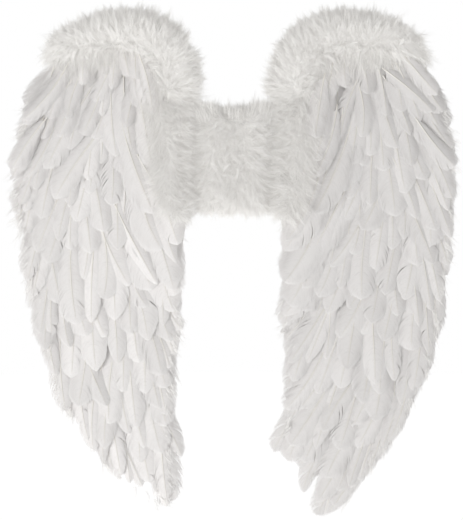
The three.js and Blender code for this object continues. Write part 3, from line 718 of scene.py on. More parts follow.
def wisps(name, p, n, r, per_clump=16, length=(12, 20), droop=(0, 0, 0), lean=0.6, wide=0.23, spread=1.6, bodyness=0.0, comb=None, loose=0.42, close=1.0):
    """Clumps of fine tapering ribbons rooted at p: each clump leans off its normal and is drawn towards a point."""
    count = len(p)
    plane = n * np.array([1.0, 0.0, 1.0])
    radial = 0.0
    if comb is not None:
        away = (p - np.array([comb[0], 0.0, comb[1]]) * MM) * np.array([1.0, 0.0, 1.0])
        radial = unit(away) * 1.5
    lay = unit(swirl_at(p) * 0.35 + plane * 1.4 + radial + r.normal(0, loose, (count, 3)) + np.array(droop) * 2.2)
    lay = unit(lay - n * (lay * n).sum(1, keepdims=True) * (1 - bodyness))
    amount = np.clip(r.normal(lean, 0.2, count), 0.05, 1.1)[:, None]
    d = unit(n * (1.05 - amount) + lay * amount)
    L = r.uniform(length[0], length[1], count) * (1 + 0.35 * (r.random(count) > 0.92))
    curl = unit(np.cross(d, n) + r.normal(0, 0.4, (count, 3))) * (r.normal(0, 0.10, count) * L)[:, None] * MM
    tip = p + d * L[:, None] * MM + curl
    m = per_clump
    total = count * m
    rep_p, nn = np.repeat(p, m, 0), np.repeat(n, m, 0)
    base = rep_p + r.normal(0, spread, (total, 3)) * MM
    base = base - nn * ((base - rep_p) * nn).sum(1, keepdims=True) - nn * r.uniform(0.2, 1.8, total)[:, None] * MM
    # most of a clump's barbs lean towards its tip, some stray
    stray = np.where(r.random(total) < 0.2, 2.6, 1.0)
    reach = r.uniform(0.55, 1.08, total)
    ends = rep_p + (np.repeat(tip, m, 0) - rep_p) * reach[:, None] + r.normal(0, close, (total, 3)) * stray[:, None] * MM
    seg = 4
    t = np.linspace(0, 1, seg + 1)
    mid = (base + ends) / 2 + nn * (0.18 * L.repeat(m) * MM)[:, None] + np.repeat(curl, m, 0) * -0.35 + r.normal(0, 1.1, (total, 3)) * MM
    tt = t[None, :, None]
    line = base[:, None] * (1 - tt) ** 2 + 2 * mid[:, None] * tt * (1 - tt) + ends[:, None] * tt ** 2
    line = line + r.normal(0, 0.3, (total, 1, 3)) * MM * np.sin(t * 7 + 0.5)[None, :, None] * t[None, :, None]
    tan = unit(np.gradient(line, axis=1))
    side = unit(np.cross(tan, nn[:, None] + r.normal(0, 0.35, (total, 1, 3))))
    line[..., 1] = np.maximum(line[..., 1], Y_LIMIT * MM)
    line[..., 2] = np.minimum(line[..., 2], Z_LIMIT * MM)
    w = (wide * (1 - t) ** 0.7 * 0.85 + 0.06)[None, :, None] * MM * r.uniform(0.7, 1.3, (total, 1, 1))
    co = np.stack([line - side * w / 2, line + side * w / 2], 2).reshape(-1, 3)
    s = np.arange(total)[:, None] * (seg + 1) * 2 + np.arange(seg)[None, :] * 2
    q = np.stack([s, s + 2, s + 3, s + 1], -1).reshape(-1, 4)
    cols = int(math.ceil(math.sqrt(total * 3.2)))
    rows_ = int(math.ceil(total / cols))
    cu, cv = (np.arange(total) % cols) / cols, (np.arange(total) // cols) / rows_
    uu = cu[:, None, None] + np.broadcast_to(np.array([0.1, 0.9])[None, None, :] / cols, (total, seg + 1, 2))
    vv = cv[:, None, None] + np.broadcast_to((0.05 + 0.9 * t)[None, :, None] / rows_, (total, seg + 1, 2))
    uv = np.stack([uu, vv], -1).reshape(-1, 2)
    tone = np.repeat(np.clip(np.repeat(r.normal(0.5, 0.22, count), m) + r.normal(0, 0.12, total), 0, 1), (seg + 1) * 2)
    made = mesh_object(name, co, q, layers={"OFBake": uv}, points={"tone": tone})
    dress(made, M_DOWN)
    print(name, count, "clumps", len(q) * 2, "triangles")
    return made


def fur(name, body, p, n, r, **how):
    """Wisps on a body, in pieces of a size that stays quick to handle."""
    most = 1500
    parts = max(1, int(math.ceil(len(p) / most)))
    for i in range(parts):
        piece = wisps(f"{name}_{i + 1}" if parts > 1 else name, p[i::parts], n[i::parts], r, **how)
        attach(piece, body)


def marabou(name, body, source, r, per_mm2, keep=None, **how):
    """Wisps all over a solid."""
    ob = nodes[source]
    _, _, area = surface_samples(ob, 10, r)
    p, n, _ = surface_samples(ob, int(area * 1e6 * per_mm2), r)
    if keep is not None:
        ok = keep(p, n)
        p, n = p[ok], n[ok]
    fur(name, body, p, n, r, **how)


def core(name, source, shrink, r):
    """The dense down under the wisps: the solid's own form, drawn in and made lumpy."""
    src = nodes[source]
    ob = bpy.data.objects.new(name, src.data.copy())
    scene.collection.objects.link(ob)
    bm = bmesh.new()
    bm.from_mesh(ob.data)
    bmesh.ops.remove_doubles(bm, verts=bm.verts, dist=1e-5)
    bmesh.ops.recalc_face_normals(bm, faces=bm.faces)
    bmesh.ops.triangulate(bm, faces=bm.faces)
    long = [e for e in bm.edges if e.calc_length() > 0.012]
    for _ in range(3):
        long = [e for e in bm.edges if e.calc_length() > 0.009]
        if not long:
            break
        bmesh.ops.subdivide_edges(bm, edges=long, cuts=1, use_grid_fill=True)
        bmesh.ops.triangulate(bm, faces=bm.faces)
    bm.normal_update()
    for v in bm.verts:
        x, y, z = v.co * 95
        lump = math.sin(x * 1.9 + 1.3 * math.sin(z * 1.1)) * math.cos(z * 1.7 + y) + 0.6 * math.sin(3.1 * y + 2.3 * x)
        v.co -= v.normal * (shrink + 0.7 * lump) * MM
    bm.to_mesh(ob.data)
    bm.free()
    for poly in ob.data.polygons:
        poly.use_smooth = True
    a = ob.data.attributes.get("tone") or ob.data.attributes.new("tone", "FLOAT", "POINT")
    a.data.foreach_set("value", np.full(len(ob.data.vertices), 0.45, np.float32))
    dress(ob, M_CORE)
    return ob


def front(p, n):
    return n[:, 1] < 0.55


def trim_face(p, n):
    """The trim's shown side, thinner at its outer end, where the feathers take over."""
    thin = np.sin(p[:, 0] * 9133.0 + p[:, 2] * 7717.0) > -0.4
    return front(p, n) & ~((np.abs(p[:, 0]) > 0.200) & thin)


# where the trim gives way to the feathers, in (|x|, z)
BORDER = {
    "left": [(203, 116), (184, 124), (160, 125), (140, 132), (112, 130), (98, 112), (92, 92), (95, 66), (88, 40), (84, 12), (77, -34), (68, -58)],
    "right": [(208, 122), (186, 130), (160, 128), (130, 126), (108, 112), (96, 88), (92, 64), (88, 36), (82, 8), (76, -30), (66, -58)],
}
for side in ("left", "right"):
    r = np.random.default_rng(311 if side == "left" else 323)
    body, sg = f"{side}_wing", SIDE[side]
    edge, root = f"{side}_edge_marabou", f"{side}_root_marabou"
    c = core(f"{side}_edge_down", edge, 2.2, r)
    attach(c, body)
    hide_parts(edge)
    c = core(f"{side}_root_down", root, 1.6, r)
    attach(c, body)
    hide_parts(root)
    heart = (sg * 150, 40)
    marabou(f"{side}_edge_wisps", body, edge, r, 0.15, keep=trim_face, length=(10, 17), lean=0.74, comb=heart, per_clump=13)
    marabou(f"{side}_edge_long_wisps", body, edge, r, 0.035, keep=lambda p, n: (n[:, 1] < 0.2) & (n[:, 1] > -0.8) & (np.abs(p[:, 0]) < 0.215), length=(13, 19), lean=0.5, comb=heart, wide=0.42, close=0.6)
    marabou(f"{side}_edge_end_wisps", body, edge, r, 0.16, keep=lambda p, n: front(p, n) & (np.abs(p[:, 0]) > 0.180), length=(15, 25), lean=0.92,
            droop=(sg * 0.8, -0.1, -1.0), wide=0.32, per_clump=12, loose=0.6)
    marabou(f"{side}_edge_back_wisps", body, edge, r, 0.07, keep=lambda p, n: n[:, 1] > 0.4, length=(9, 15), lean=0.93, comb=heart, per_clump=12)
    marabou(f"{side}_root_wisps", body, root, r, 0.14, keep=front, length=(14, 21), lean=0.74, comb=(sg * 115, 75), droop=(0, 0, -0.25), loose=0.7)
    # over the hinge line, from the wing's root inwards
    count = 760
    z = r.uniform(-60, 72, count)
    p = np.stack([sg * r.uniform(55, 66, count), r.uniform(-38, -19, count), z], -1) * MM
    n = unit(np.stack([np.full(count, -sg * 0.75), np.full(count, -0.65), np.where(z > 40, 0.3, np.where(z < -45, -0.35, 0.0))], -1) + r.normal(0, 0.2, (count, 3)))
    # and in the crook where the trim meets the root
    r2 = np.random.default_rng(513 if side == "left" else 617)
    crook = np.stack([sg * r2.uniform(62, 84, 190), r2.uniform(-37, -28, 190), r2.uniform(40, 68, 190)], -1) * MM
    p = np.vstack([p, crook])
    n = np.vstack([n, unit(np.tile([-sg * 0.3, -1.0, 0.05], (190, 1)) + r2.normal(0, 0.2, (190, 3)))])
    fur(f"{side}_hinge_wisps", body, p, n, r, length=(14, 21), lean=0.62, bodyness=1.0, droop=(0, 0, -0.6), loose=0.6)
    # down that spills from the trim on to the feathers
    line = np.array(BORDER[side], float)
    run = np.concatenate([[0], np.cumsum(np.linalg.norm(np.diff(line, axis=0), axis=1))])
    count = 1300
    at = r.uniform(0, run[-1], count)
    ax, z = np.interp(at, run, line[:, 0]), np.interp(at, run, line[:, 1])
    inward = unit(np.stack([150 - ax, 20 - z], -1))
    push = r.uniform(-13, 7, count)
    ax, z = ax + inward[:, 0] * push, z + inward[:, 1] * push
    p = np.stack([sg * ax, np.full(count, row_depth(0, z) - r.uniform(3.0, 6.5, count)), z], -1) * MM
    n = np.tile([0.0, -1.0, 0.0], (count, 1))
    ang = np.radians(np.array([float(lie(side, a_, z_)) for a_, z_ in zip(ax, z)]) + r.normal(0, 24, count))
    # from the border inwards, with the lie of the feathers
    flow = np.stack([sg * (np.sin(ang) + inward[:, 0] * 0.8), np.full(count, -0.10), -np.cos(ang) + inward[:, 1] * 0.8], -1)
    fur(f"{side}_spill_wisps", body, p, unit(unit(flow) + n * 0.12), r, length=(14, 28), lean=0.1, wide=0.3, spread=2.4, close=1.8)
    # barbs that have come loose along the outline of the feathers
    ring = ZONE[side]
    run = np.concatenate([[0], np.cumsum(np.linalg.norm(np.diff(ring, axis=0), axis=1))])
    at = r.uniform(0, run[-1], 420)
    x, z = np.interp(at, run, ring[:, 0]), np.interp(at, run, ring[:, 1])
    ok = (z < 85) & ~((np.abs(x) < 90) & (z > -60)) & (r.random(420) < np.where(np.abs(x) > 180, 0.8, 0.3))
    x, z = x[ok], z[ok]
    ax = np.abs(x)
    inward = unit(np.stack([150 - ax, np.where(z < -330, 60.0, -80.0 - z) * 0.35], -1))
    back = r.uniform(6.0, 13.0, len(x))
    ax, z = ax + inward[:, 0] * back, z + inward[:, 1] * back
    k = np.clip((ROW_START - ROW_LENGTH - z) / ROW_PITCH, 0, 10)
    y = row_depth(k + 0.45, z) - r.uniform(0.0, 1.6, len(x))
    p = np.stack([sg * ax, y, z], -1) * MM
    ang = np.radians(np.array([float(lie(side, a_, z_)) for a_, z_ in zip(ax, z)]) + r.normal(0, 14, len(x)))
    flow = np.stack([sg * (np.sin(ang) - inward[:, 0] * 0.35), np.full(len(x), -0.12), -np.cos(ang) - inward[:, 1] * 0.2], -1)
    fur(f"{side}_loose_barbs", body, p, unit(flow), r, length=(11, 18), lean=0.05, wide=0.5, spread=1.0, close=1.5, per_clump=7)
r = np.random.default_rng(347)
c = core("centre_down", "centre_marabou", 2.0, r)
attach(c, "centre")
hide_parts("centre_marabou")
marabou("centre_wisps", "centre", "centre_marabou", r, 0.14, keep=front, length=(12, 19), lean=0.74, comb=(0, 52), droop=(0, 0, -0.3), loose=0.95)
marabou("centre_rim_wisps", "centre", "centre_marabou", r, 0.12, keep=lambda p, n: np.abs(n[:, 2]) > 0.5, length=(11, 16), lean=0.35, bodyness=1.0, wide=0.42, close=0.6)
marabou("centre_side_wisps", "centre", "centre_marabou", r, 0.06, keep=lambda p, n: np.abs(n[:, 0]) > 0.6, length=(13, 19), lean=0.55, bodyness=1.0, droop=(0, 0, -0.5))
# fuller at the upper corners, where it meets the wings' trim
count = 360
sg = np.where(r.random(count) < 0.5, -1.0, 1.0)
p = np.stack([sg * r.uniform(19, 41, count), r.uniform(-37, -19, count), r.uniform(44, 52, count)], -1) * MM
n = unit(np.stack([sg * 0.25, np.full(count, -0.25), np.full(count, 1.0)], -1) + r.normal(0, 0.15, (count, 3)))
fur("centre_corner_wisps", "centre", p, n, r, length=(15, 24), lean=0.25, bodyness=1.0, wide=0.4, close=0.8)


# ------------------------------------------------------- cloth, tape and thread
from mathutils import noise as fields
from mathutils.bvhtree import BVHTree
from mathutils.geometry import delaunay_2d_cdt


def stitches(name, body, line, up, pitch=3.4, long=2.3, radius=0.24, closed=False, proud=0.12):
    """A row of thread stitches along line (mm), lying on a surface that faces up (one normal or one for each point)."""
    line = np.asarray(line, float)
    up = np.broadcast_to(np.asarray(up, float), line.shape)
    if closed:
        line, up = np.vstack([line, line[:1]]), np.vstack([up, up[:1]])
    run = np.concatenate([[0], np.cumsum(np.linalg.norm(np.diff(line, axis=0), axis=1))])
    count = max(1, int(run[-1] / pitch))
    mid = (np.arange(count) + 0.5) * run[-1] / count
    n_s, n_r = 7, 6
    u = np.linspace(-1, 1, n_s)
    at = mid[:, None] + u[None, :] * long / 2
    at = np.clip(at, 0, run[-1])
    p = np.stack([np.interp(at, run, line[:, i]) for i in range(3)], -1)
    n = unit(np.stack([np.interp(at, run, up[:, i]) for i in range(3)], -1))
    tan = unit(np.gradient(p, axis=1))
    side = unit(np.cross(tan, n))
    rad = radius * np.sqrt(np.clip(1 - (np.abs(u) * 0.96) ** 4, 0.05, 1))[None, :, None]
    p = p + n * (proud - 0.5 * radius * (u ** 4)[None, :, None] * 1.6)
    ring = [p + (side * math.cos(a) + n * math.sin(a) * 0.8) * rad for a in np.arange(n_r) * 2 * math.pi / n_r]
    ends = [p[:, 0], p[:, -1]]
    co = np.stack(ring, 2).reshape(count, n_s * n_r, 3)
    co = np.concatenate([co, np.stack(ends, 1)], 1)
    per = n_s * n_r + 2
    quads, tris = [], []
    for i in range(n_s - 1):
        for j in range(n_r):
            k = (j + 1) % n_r
            quads.append([i * n_r + j, i * n_r + k, (i + 1) * n_r + k, (i + 1) * n_r + j])
    for j in range(n_r):
        k = (j + 1) % n_r
        tris.append([j, n_s * n_r, k])
        tris.append([(n_s - 1) * n_r + j, (n_s - 1) * n_r + k, n_s * n_r + 1])
    base = (np.arange(count) * per)[:, None, None]
    ob = mesh_object(name, co.reshape(-1, 3) * MM, (np.array(quads)[None] + base).reshape(-1, 4), (np.array(tris)[None] + base).reshape(-1, 3))
    dress(ob, M_THREAD)
    if body:
        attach(ob, body)
    return ob


def softened(node, name, body, mat, cell=3.0, amp=0.12, scale=0.25, round_by=0.32):
    """A cloth piece over its solid: rounded edges, fine enough to hold small dents and a slight unevenness."""
    ob = bpy.data.objects.new(name, nodes[node].data.copy())
    scene.collection.objects.link(ob)
    bm = bmesh.new()
    bm.from_mesh(ob.data)
    bmesh.ops.remove_doubles(bm, verts=bm.verts, dist=2e-6)
    bmesh.ops.dissolve_limit(bm, angle_limit=0.02, verts=bm.verts, edges=bm.edges)
    sharp = [e for e in bm.edges if len(e.link_faces) == 2 and e.calc_face_angle(0) > 0.5]
    if round_by and sharp:
        bmesh.ops.bevel(bm, geom=sharp, offset=round_by * MM, offset_type="OFFSET", segments=2, profile=0.6, affect="EDGES", clamp_overlap=True)
    bmesh.ops.triangulate(bm, faces=bm.faces)
    for _ in range(6):
        far = [e for e in bm.edges if e.calc_length() > cell * MM]
        if not far or len(bm.faces) > 60000:
            break
        bmesh.ops.subdivide_edges(bm, edges=far, cuts=1)
        bmesh.ops.triangulate(bm, faces=[f for f in bm.faces if len(f.verts) > 3])
    bm.normal_update()
    for v in bm.verts:
        q = v.co * (scale / MM)
        v.co += v.normal * (fields.noise(q) * amp + fields.noise(q * 2.7) * amp * 0.35 - amp * 0.25) * MM
    bm.to_mesh(ob.data)
    bm.free()
    for poly in ob.data.polygons:
        poly.use_smooth = True
    dress(ob, mat)
    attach(ob, body)
    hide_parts(node)
    return ob


def outline_of(node):
    """The outline of a flat solid's face towards the wearer, as (x, z) in mm in order, and its y."""
    bm = bmesh.new()
    bm.from_mesh(nodes[node].data)
    bmesh.ops.remove_doubles(bm, verts=bm.verts, dist=2e-6)
    bm.normal_update()
    faces = {f for f in bm.faces if f.normal.y > 0.9}
    nxt, place, y = {}, {}, 0
    for f in faces:
        loops = list(f.loops)
        for lp in loops:
            e = lp.edge
            if sum(1 for g in e.link_faces if g in faces) == 1:
                a, b = lp.vert, lp.link_loop_next.vert
                nxt[a.index] = b.index
                place[a.index] = (a.co.x / MM, a.co.z / MM)
                y = a.co.y / MM
    bm.free()
    best = []
    left = set(nxt)
    while left:
        start = left.pop()
        chain, at = [start], nxt[start]
        while at != start and at in left:
            left.discard(at)
            chain.append(at)
            at = nxt[at]
        if len(chain) > len(best):
            best = chain
    return np.array([place[i] for i in best]), y


def edge_distance(points, ring):
    """Distance of each point from a closed outline."""
    a, b = ring, np.roll(ring, -1, axis=0)
    d = b - a
    t = np.clip(((points[:, None] - a[None]) * d[None]).sum(-1) / np.maximum((d * d).sum(-1), 1e-9)[None], 0, 1)
    return np.linalg.norm(points[:, None] - (a[None] + t[..., None] * d[None]), axis=-1).min(1)


def inset(ring, by, step=3.4):
    """The outline drawn in by a distance, smoothed and evenly spaced."""
    run = np.concatenate([[0], np.cumsum(np.linalg.norm(np.diff(np.vstack([ring, ring[:1]]), axis=0), axis=1))])
    whole = np.vstack([ring, ring[:1]])
    at = np.linspace(0, run[-1], int(run[-1] / step), endpoint=False)
    line = np.stack([np.interp(at, run, whole[:, i]) for i in range(2)], -1)
    for _ in range(3):
        line = (np.roll(line, 1, 0) + 2 * line + np.roll(line, -1, 0)) / 4
    tan = unit(np.roll(line, -1, 0) - np.roll(line, 1, 0))
    area2 = (line[:, 0] * np.roll(line[:, 1], -1) - np.roll(line[:, 0], -1) * line[:, 1]).sum()
    nrm = np.stack([-tan[:, 1], tan[:, 0]], -1) * (1 if area2 > 0 else -1)
    return line + nrm * by


# ---- linings: a woven sheet stitched round its folded edge, with the slack of sewn cloth
for side in ("left", "right"):
    ring, y_face = outline_of(f"{side}_lining")
    pts = inset(ring, 0.0, 4.0)
    hem_in = inset(ring, 5.0, 4.0)
    low, high = pts.min(0), pts.max(0)
    gx, gz = np.meshgrid(np.arange(low[0] + 2, high[0], 3.0), np.arange(low[1] + 2, high[1], 3.0))
    grid = np.stack([gx.ravel(), gz.ravel()], -1)
    cloud = [Vector(p) for p in np.vstack([pts, grid])]
    n_ring = len(pts)
    order = list(range(n_ring))
    verts, _, faces, *_rest = delaunay_2d_cdt(cloud, [], [order], 1, 1e-4)
    flat2 = np.array([[v.x, v.y] for v in verts])
    tri = np.array([f for f in faces if len(f) == 3])
    d = edge_distance(flat2, pts)
    wave = np.array([
        fields.noise(Vector((x * 0.022, z * 0.009, 3.1))) * 1.0 + fields.noise(Vector((x * 0.07 + z * 0.02, z * 0.03, 7.7))) * 0.5
        for x, z in flat2])
    pucker = np.array([fields.noise(Vector((x * 0.28, z * 0.28, 1.3))) for x, z in flat2]) * np.exp(-((d - 8) / 6.0) ** 2) * 0.35
    hem = 0.45 * smoothstep(0, 1.2, d) * (1 - smoothstep(5.0, 6.0, d))
    body_wave = smoothstep(4, 30, d) * (0.75 * wave + 0.35)
    # gathers that run in from the stitching, square to the edge, and die out
    round_ = np.concatenate([[0], np.cumsum(np.linalg.norm(np.diff(pts, axis=0), axis=1))])
    along = round_[np.linalg.norm(flat2[:, None] - pts[None], axis=-1).argmin(1)]
    drift = np.array([fields.noise(Vector((s_ * 0.013, 2.2, 5.0))) for s_ in along])
    weight = np.array([0.5 + fields.noise(Vector((s_ * 0.021, 8.8, 1.0))) for s_ in along])
    reach_in = 13.0 + 10.0 * np.clip(weight, 0, 1)
    gather = np.sin(along * 2 * math.pi / 17.0 + 7.0 * drift) * smoothstep(5.0, 9.0, d) * np.exp(-np.maximum(d - 9.0, 0) / reach_in) * 0.62 * np.clip(weight, 0.15, 1.1)
    # a few long folds where the cloth is pulled between the wire's corners
    lean = 0.34 * SIDE[side]
    pull = np.array([1 - abs(fields.noise(Vector(((x + lean * z) * 0.030, z * 0.0045, 4.4)))) * 2.6 for x, z in flat2])
    folds = np.clip(pull, 0, 1) ** 2.5 * smoothstep(10, 34, d) * 0.95
    y = y_face - 0.45 + hem + pucker + body_wave + gather + folds
    y = np.clip(y, y_face - 0.5, y_face + 1.9)
    front_co = np.stack([flat2[:, 0], y, flat2[:, 1]], -1)
    back_co = front_co.copy()
    back_co[:, 1] -= 0.35
    nv = len(flat2)
    a, b, c = flat2[tri[:, 0]], flat2[tri[:, 1]], flat2[tri[:, 2]]
    turn = (b[:, 0] - a[:, 0]) * (c[:, 1] - a[:, 1]) - (b[:, 1] - a[:, 1]) * (c[:, 0] - a[:, 0])
    tri[turn > 0] = tri[turn > 0][:, ::-1]  # facing +Y: clockwise in (x, z)
    edges = {}
    for t in tri:
        for i in range(3):
            e = (t[i], t[(i + 1) % 3])
            edges[e] = True
    rim = [(i, j) for (i, j) in edges if (j, i) not in edges]
    sides_ = np.array([[j, i, i + nv, j + nv] for i, j in rim])
    cloth = mesh_object(f"{side}_lining_cloth", np.vstack([front_co, back_co]) * MM, sides_, np.vstack([tri, tri[:, ::-1] + nv]))
    dress(cloth, M_LINING)
    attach(cloth, f"{side}_wing")
    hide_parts(f"{side}_lining")
    line = inset(ring, 4.0, 3.4)
    hems = np.interp(4.0, [0, 1.2, 5], [0, 0.45, 0.45])
    seam = stitches(f"{side}_lining_stitches", f"{side}_wing", np.stack([line[:, 0], np.full(len(line), y_face - 0.45 + hems + 0.1), line[:, 1]], -1), (0, 1, 0), closed=True)

# ---- felt panels, tape channels and tabs
for side in ("left", "right"):
    wing = f"{side}_wing"
    softened(f"{side}_base_panel", f"{side}_panel_felt", wing, M_FELT, cell=9.0, amp=0.22, scale=0.12, round_by=0.5)
    softened(f"{side}_hinge_channel", f"{side}_channel_tape", "centre", M_TAPE, cell=2.6, amp=0.16)
    for i in range(1, 5):
        softened(f"{side}_wire_tab_{i}", f"{side}_tab_tape_{i}", wing, M_TAPE, cell=2.2, amp=0.14)
    for level in ("upper", "lower"):
        softened(f"{side}_{level}_strap_tab", f"{side}_{level}_tab_elastic", "centre", M_ELASTIC, cell=2.4, amp=0.10)
    # the wire and its crimps stay as solids
    dress(nodes[f"{side}_wire_frame"], M_WIRE)
    dress(nodes[f"{side}_wire_ferrule"], M_CRIMP)
    # two rows of stitching down the channel's leaf
    low, high = node_box(f"{side}_hinge_channel")
    for j, ax in enumerate((33.5, 42.5)):
        z = np.linspace(low[2] / MM + 3, high[2] / MM - 3, 24)
        stitches(f"{side}_channel_seam_{j + 1}", "centre", np.stack([np.full(24, SIDE[side] * ax), np.full(24, -13.6), z], -1), (0, 1, 0))
dress(nodes["centre_board"], M_BOARD)

# ---- shoulder straps: ribbed elastic, twisted off its tab and sewn down
STRAP = np.array([[7, 58.5], [15, 65], [30, 70], [52, 66], [74, 50], [90, 24], [97, -8], [93, -38], [80, -62], [62, -74], [44, -74], [28, -68.5], [15, -61.5], [7, -56]], float)


def smooth_line(points, count, rounds=2):
    """A Catmull-Rom curve through the points, evenly spaced."""
    p = np.vstack([2 * points[0] - points[1], points, 2 * points[-1] - points[-2]])
    out = []
    for i in range(1, len(p) - 2):
        t = np.linspace(0, 1, 24, endpoint=False)[:, None]
        a, b, c, d = p[i - 1], p[i], p[i + 1], p[i + 2]
        out.append(0.5 * (2 * b + (c - a) * t + (2 * a - 5 * b + 4 * c - d) * t ** 2 + (3 * b - a - 3 * c + d) * t ** 3))
    out = np.vstack(out + [p[-2:-1]])
    run = np.concatenate([[0], np.cumsum(np.linalg.norm(np.diff(out, axis=0), axis=1))])
    at = np.linspace(0, run[-1], count)
    return np.stack([np.interp(at, run, out[:, i]) for i in range(out.shape[1])], -1)


for side in ("left", "right"):
    sg = SIDE[side]
    axis = np.array([sg * 36.5, -8.0])
    out = np.array([sg * math.sin(math.radians(60)), math.cos(math.radians(60))])
    loop3 = np.array([[axis[0] + out[0] * r_, axis[1] + out[1] * r_, z_] for r_, z_ in STRAP])
    # the ends run on down the tab, just proud of it
    y_tab = -8.8 + 0.62
    head = np.array([[sg * 36.5, y_tab, 31.0], [sg * 36.5, y_tab, 38.0], [sg * 36.5, y_tab, 46.0], [sg * 36.5 + out[0] * 0.8, y_tab + out[1] * 1.0, 52.5]])
    tail = np.array([[sg * 36.5 + out[0] * 0.8, y_tab + out[1] * 1.0, -51.5], [sg * 36.5, y_tab, -46.0], [sg * 36.5, y_tab, -38.0], [sg * 36.5, y_tab, -31.0]])
    line = smooth_line(np.vstack([head, loop3, tail]), 420)
    count = len(line)
    tan = unit(np.gradient(line, axis=0))
    # width runs along x on the tab and turns to lie across the loop
    z = line[:, 2]
    reach_ = (line[:, :2] - axis) @ out
    turn = smoothstep(0.4, 9.0, reach_)
    across_loop = np.array([out[1], -out[0] if sg > 0 else -out[0], 0.0])
    across_loop = np.array([sg * abs(out[1]), -abs(out[0]), 0.0])
    across = unit(np.array([sg, 0.0, 0.0])[None] * (1 - turn[:, None]) + across_loop[None] * turn[:, None])
    across = unit(across - tan * (across * tan).sum(1, keepdims=True))
    nrm = np.cross(across, tan)
    run = np.concatenate([[0], np.cumsum(np.linalg.norm(np.diff(line, axis=0), axis=1))])
    half, thick = 7.0, 1.1
    # closed section: 13 points across the top, edges rounded, 13 back across the bottom
    u = np.linspace(-1, 1, 15)
    prof = []
    for v in u:
        prof.append((v * half, thick / 2 * (1 - abs(v) ** 14)))
    for v in u[::-1][1:-1]:
        prof.append((v * half, -thick / 2 * (1 - abs(v) ** 14)))
    prof = np.array(prof)
    k = len(prof)
    wob = np.sin(run * 0.11 + 0.7) * 0.10 + np.sin(run * 0.31) * 0.06
    rib = 0.07 * np.sin(prof[:, 0] * 2 * math.pi / 1.75)
    edge_wave = 0.18 * np.sin(run * 1.9)[:, None] * (np.abs(prof[:, 0]) > 6.4)[None, :]
    h = prof[None, :, 1] + np.sign(prof[None, :, 1]) * rib[None, :] + edge_wave
    w = prof[None, :, 0] * (1 + wob[:, None] * 0.08)
    co = line[:, None] + across[:, None] * w[..., None] + nrm[:, None] * h[..., None]
    co = co.reshape(-1, 3)
    i = np.arange(count - 1)[:, None] * k
    j = np.arange(k)[None]
    quads = np.stack([i + j, i + (j + 1) % k, i + k + (j + 1) % k, i + k + j], -1).reshape(-1, 4)
    # end caps as fans
    c0, c1 = len(co), len(co) + 1
    co = np.vstack([co, line[:1], line[-1:]])
    jj = np.arange(k)
    caps = np.vstack([np.stack([np.full(k, c0), (jj + 1) % k, jj], -1), np.stack([np.full(k, c1), (count - 1) * k + jj, (count - 1) * k + (jj + 1) % k], -1)])
    band = mesh_object(f"{side}_strap_band", co * MM, quads, caps)
    bm = bmesh.new()
    bm.from_mesh(band.data)
    bmesh.ops.recalc_face_normals(bm, faces=bm.faces)
    bm.to_mesh(band.data)
    bm.free()
    dress(band, M_ELASTIC)
    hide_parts(f"{side}_shoulder_strap")
    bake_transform(band)
    # box stitches that hold each end to its tab
    for level, z0, z1 in (("upper", 31.5, 45.5), ("lower", -45.5, -31.5)):
        x0, x1 = sg * 36.5 - 5.4, sg * 36.5 + 5.4
        y_ = y_tab + 0.62
        box = np.array([[x0, y_, z0], [x1, y_, z0], [x1, y_, z1], [x0, y_, z1], [x0, y_, z0], [x1, y_, z1]])
        dense = np.vstack([np.linspace(box[i], box[i + 1], 8, endpoint=False) for i in range(5)] + [box[-1:]])
        stitches(f"{side}_{level}_box_stitch", "centre", dense, (0, 1, 0), pitch=2.6, long=1.8, radius=0.2)


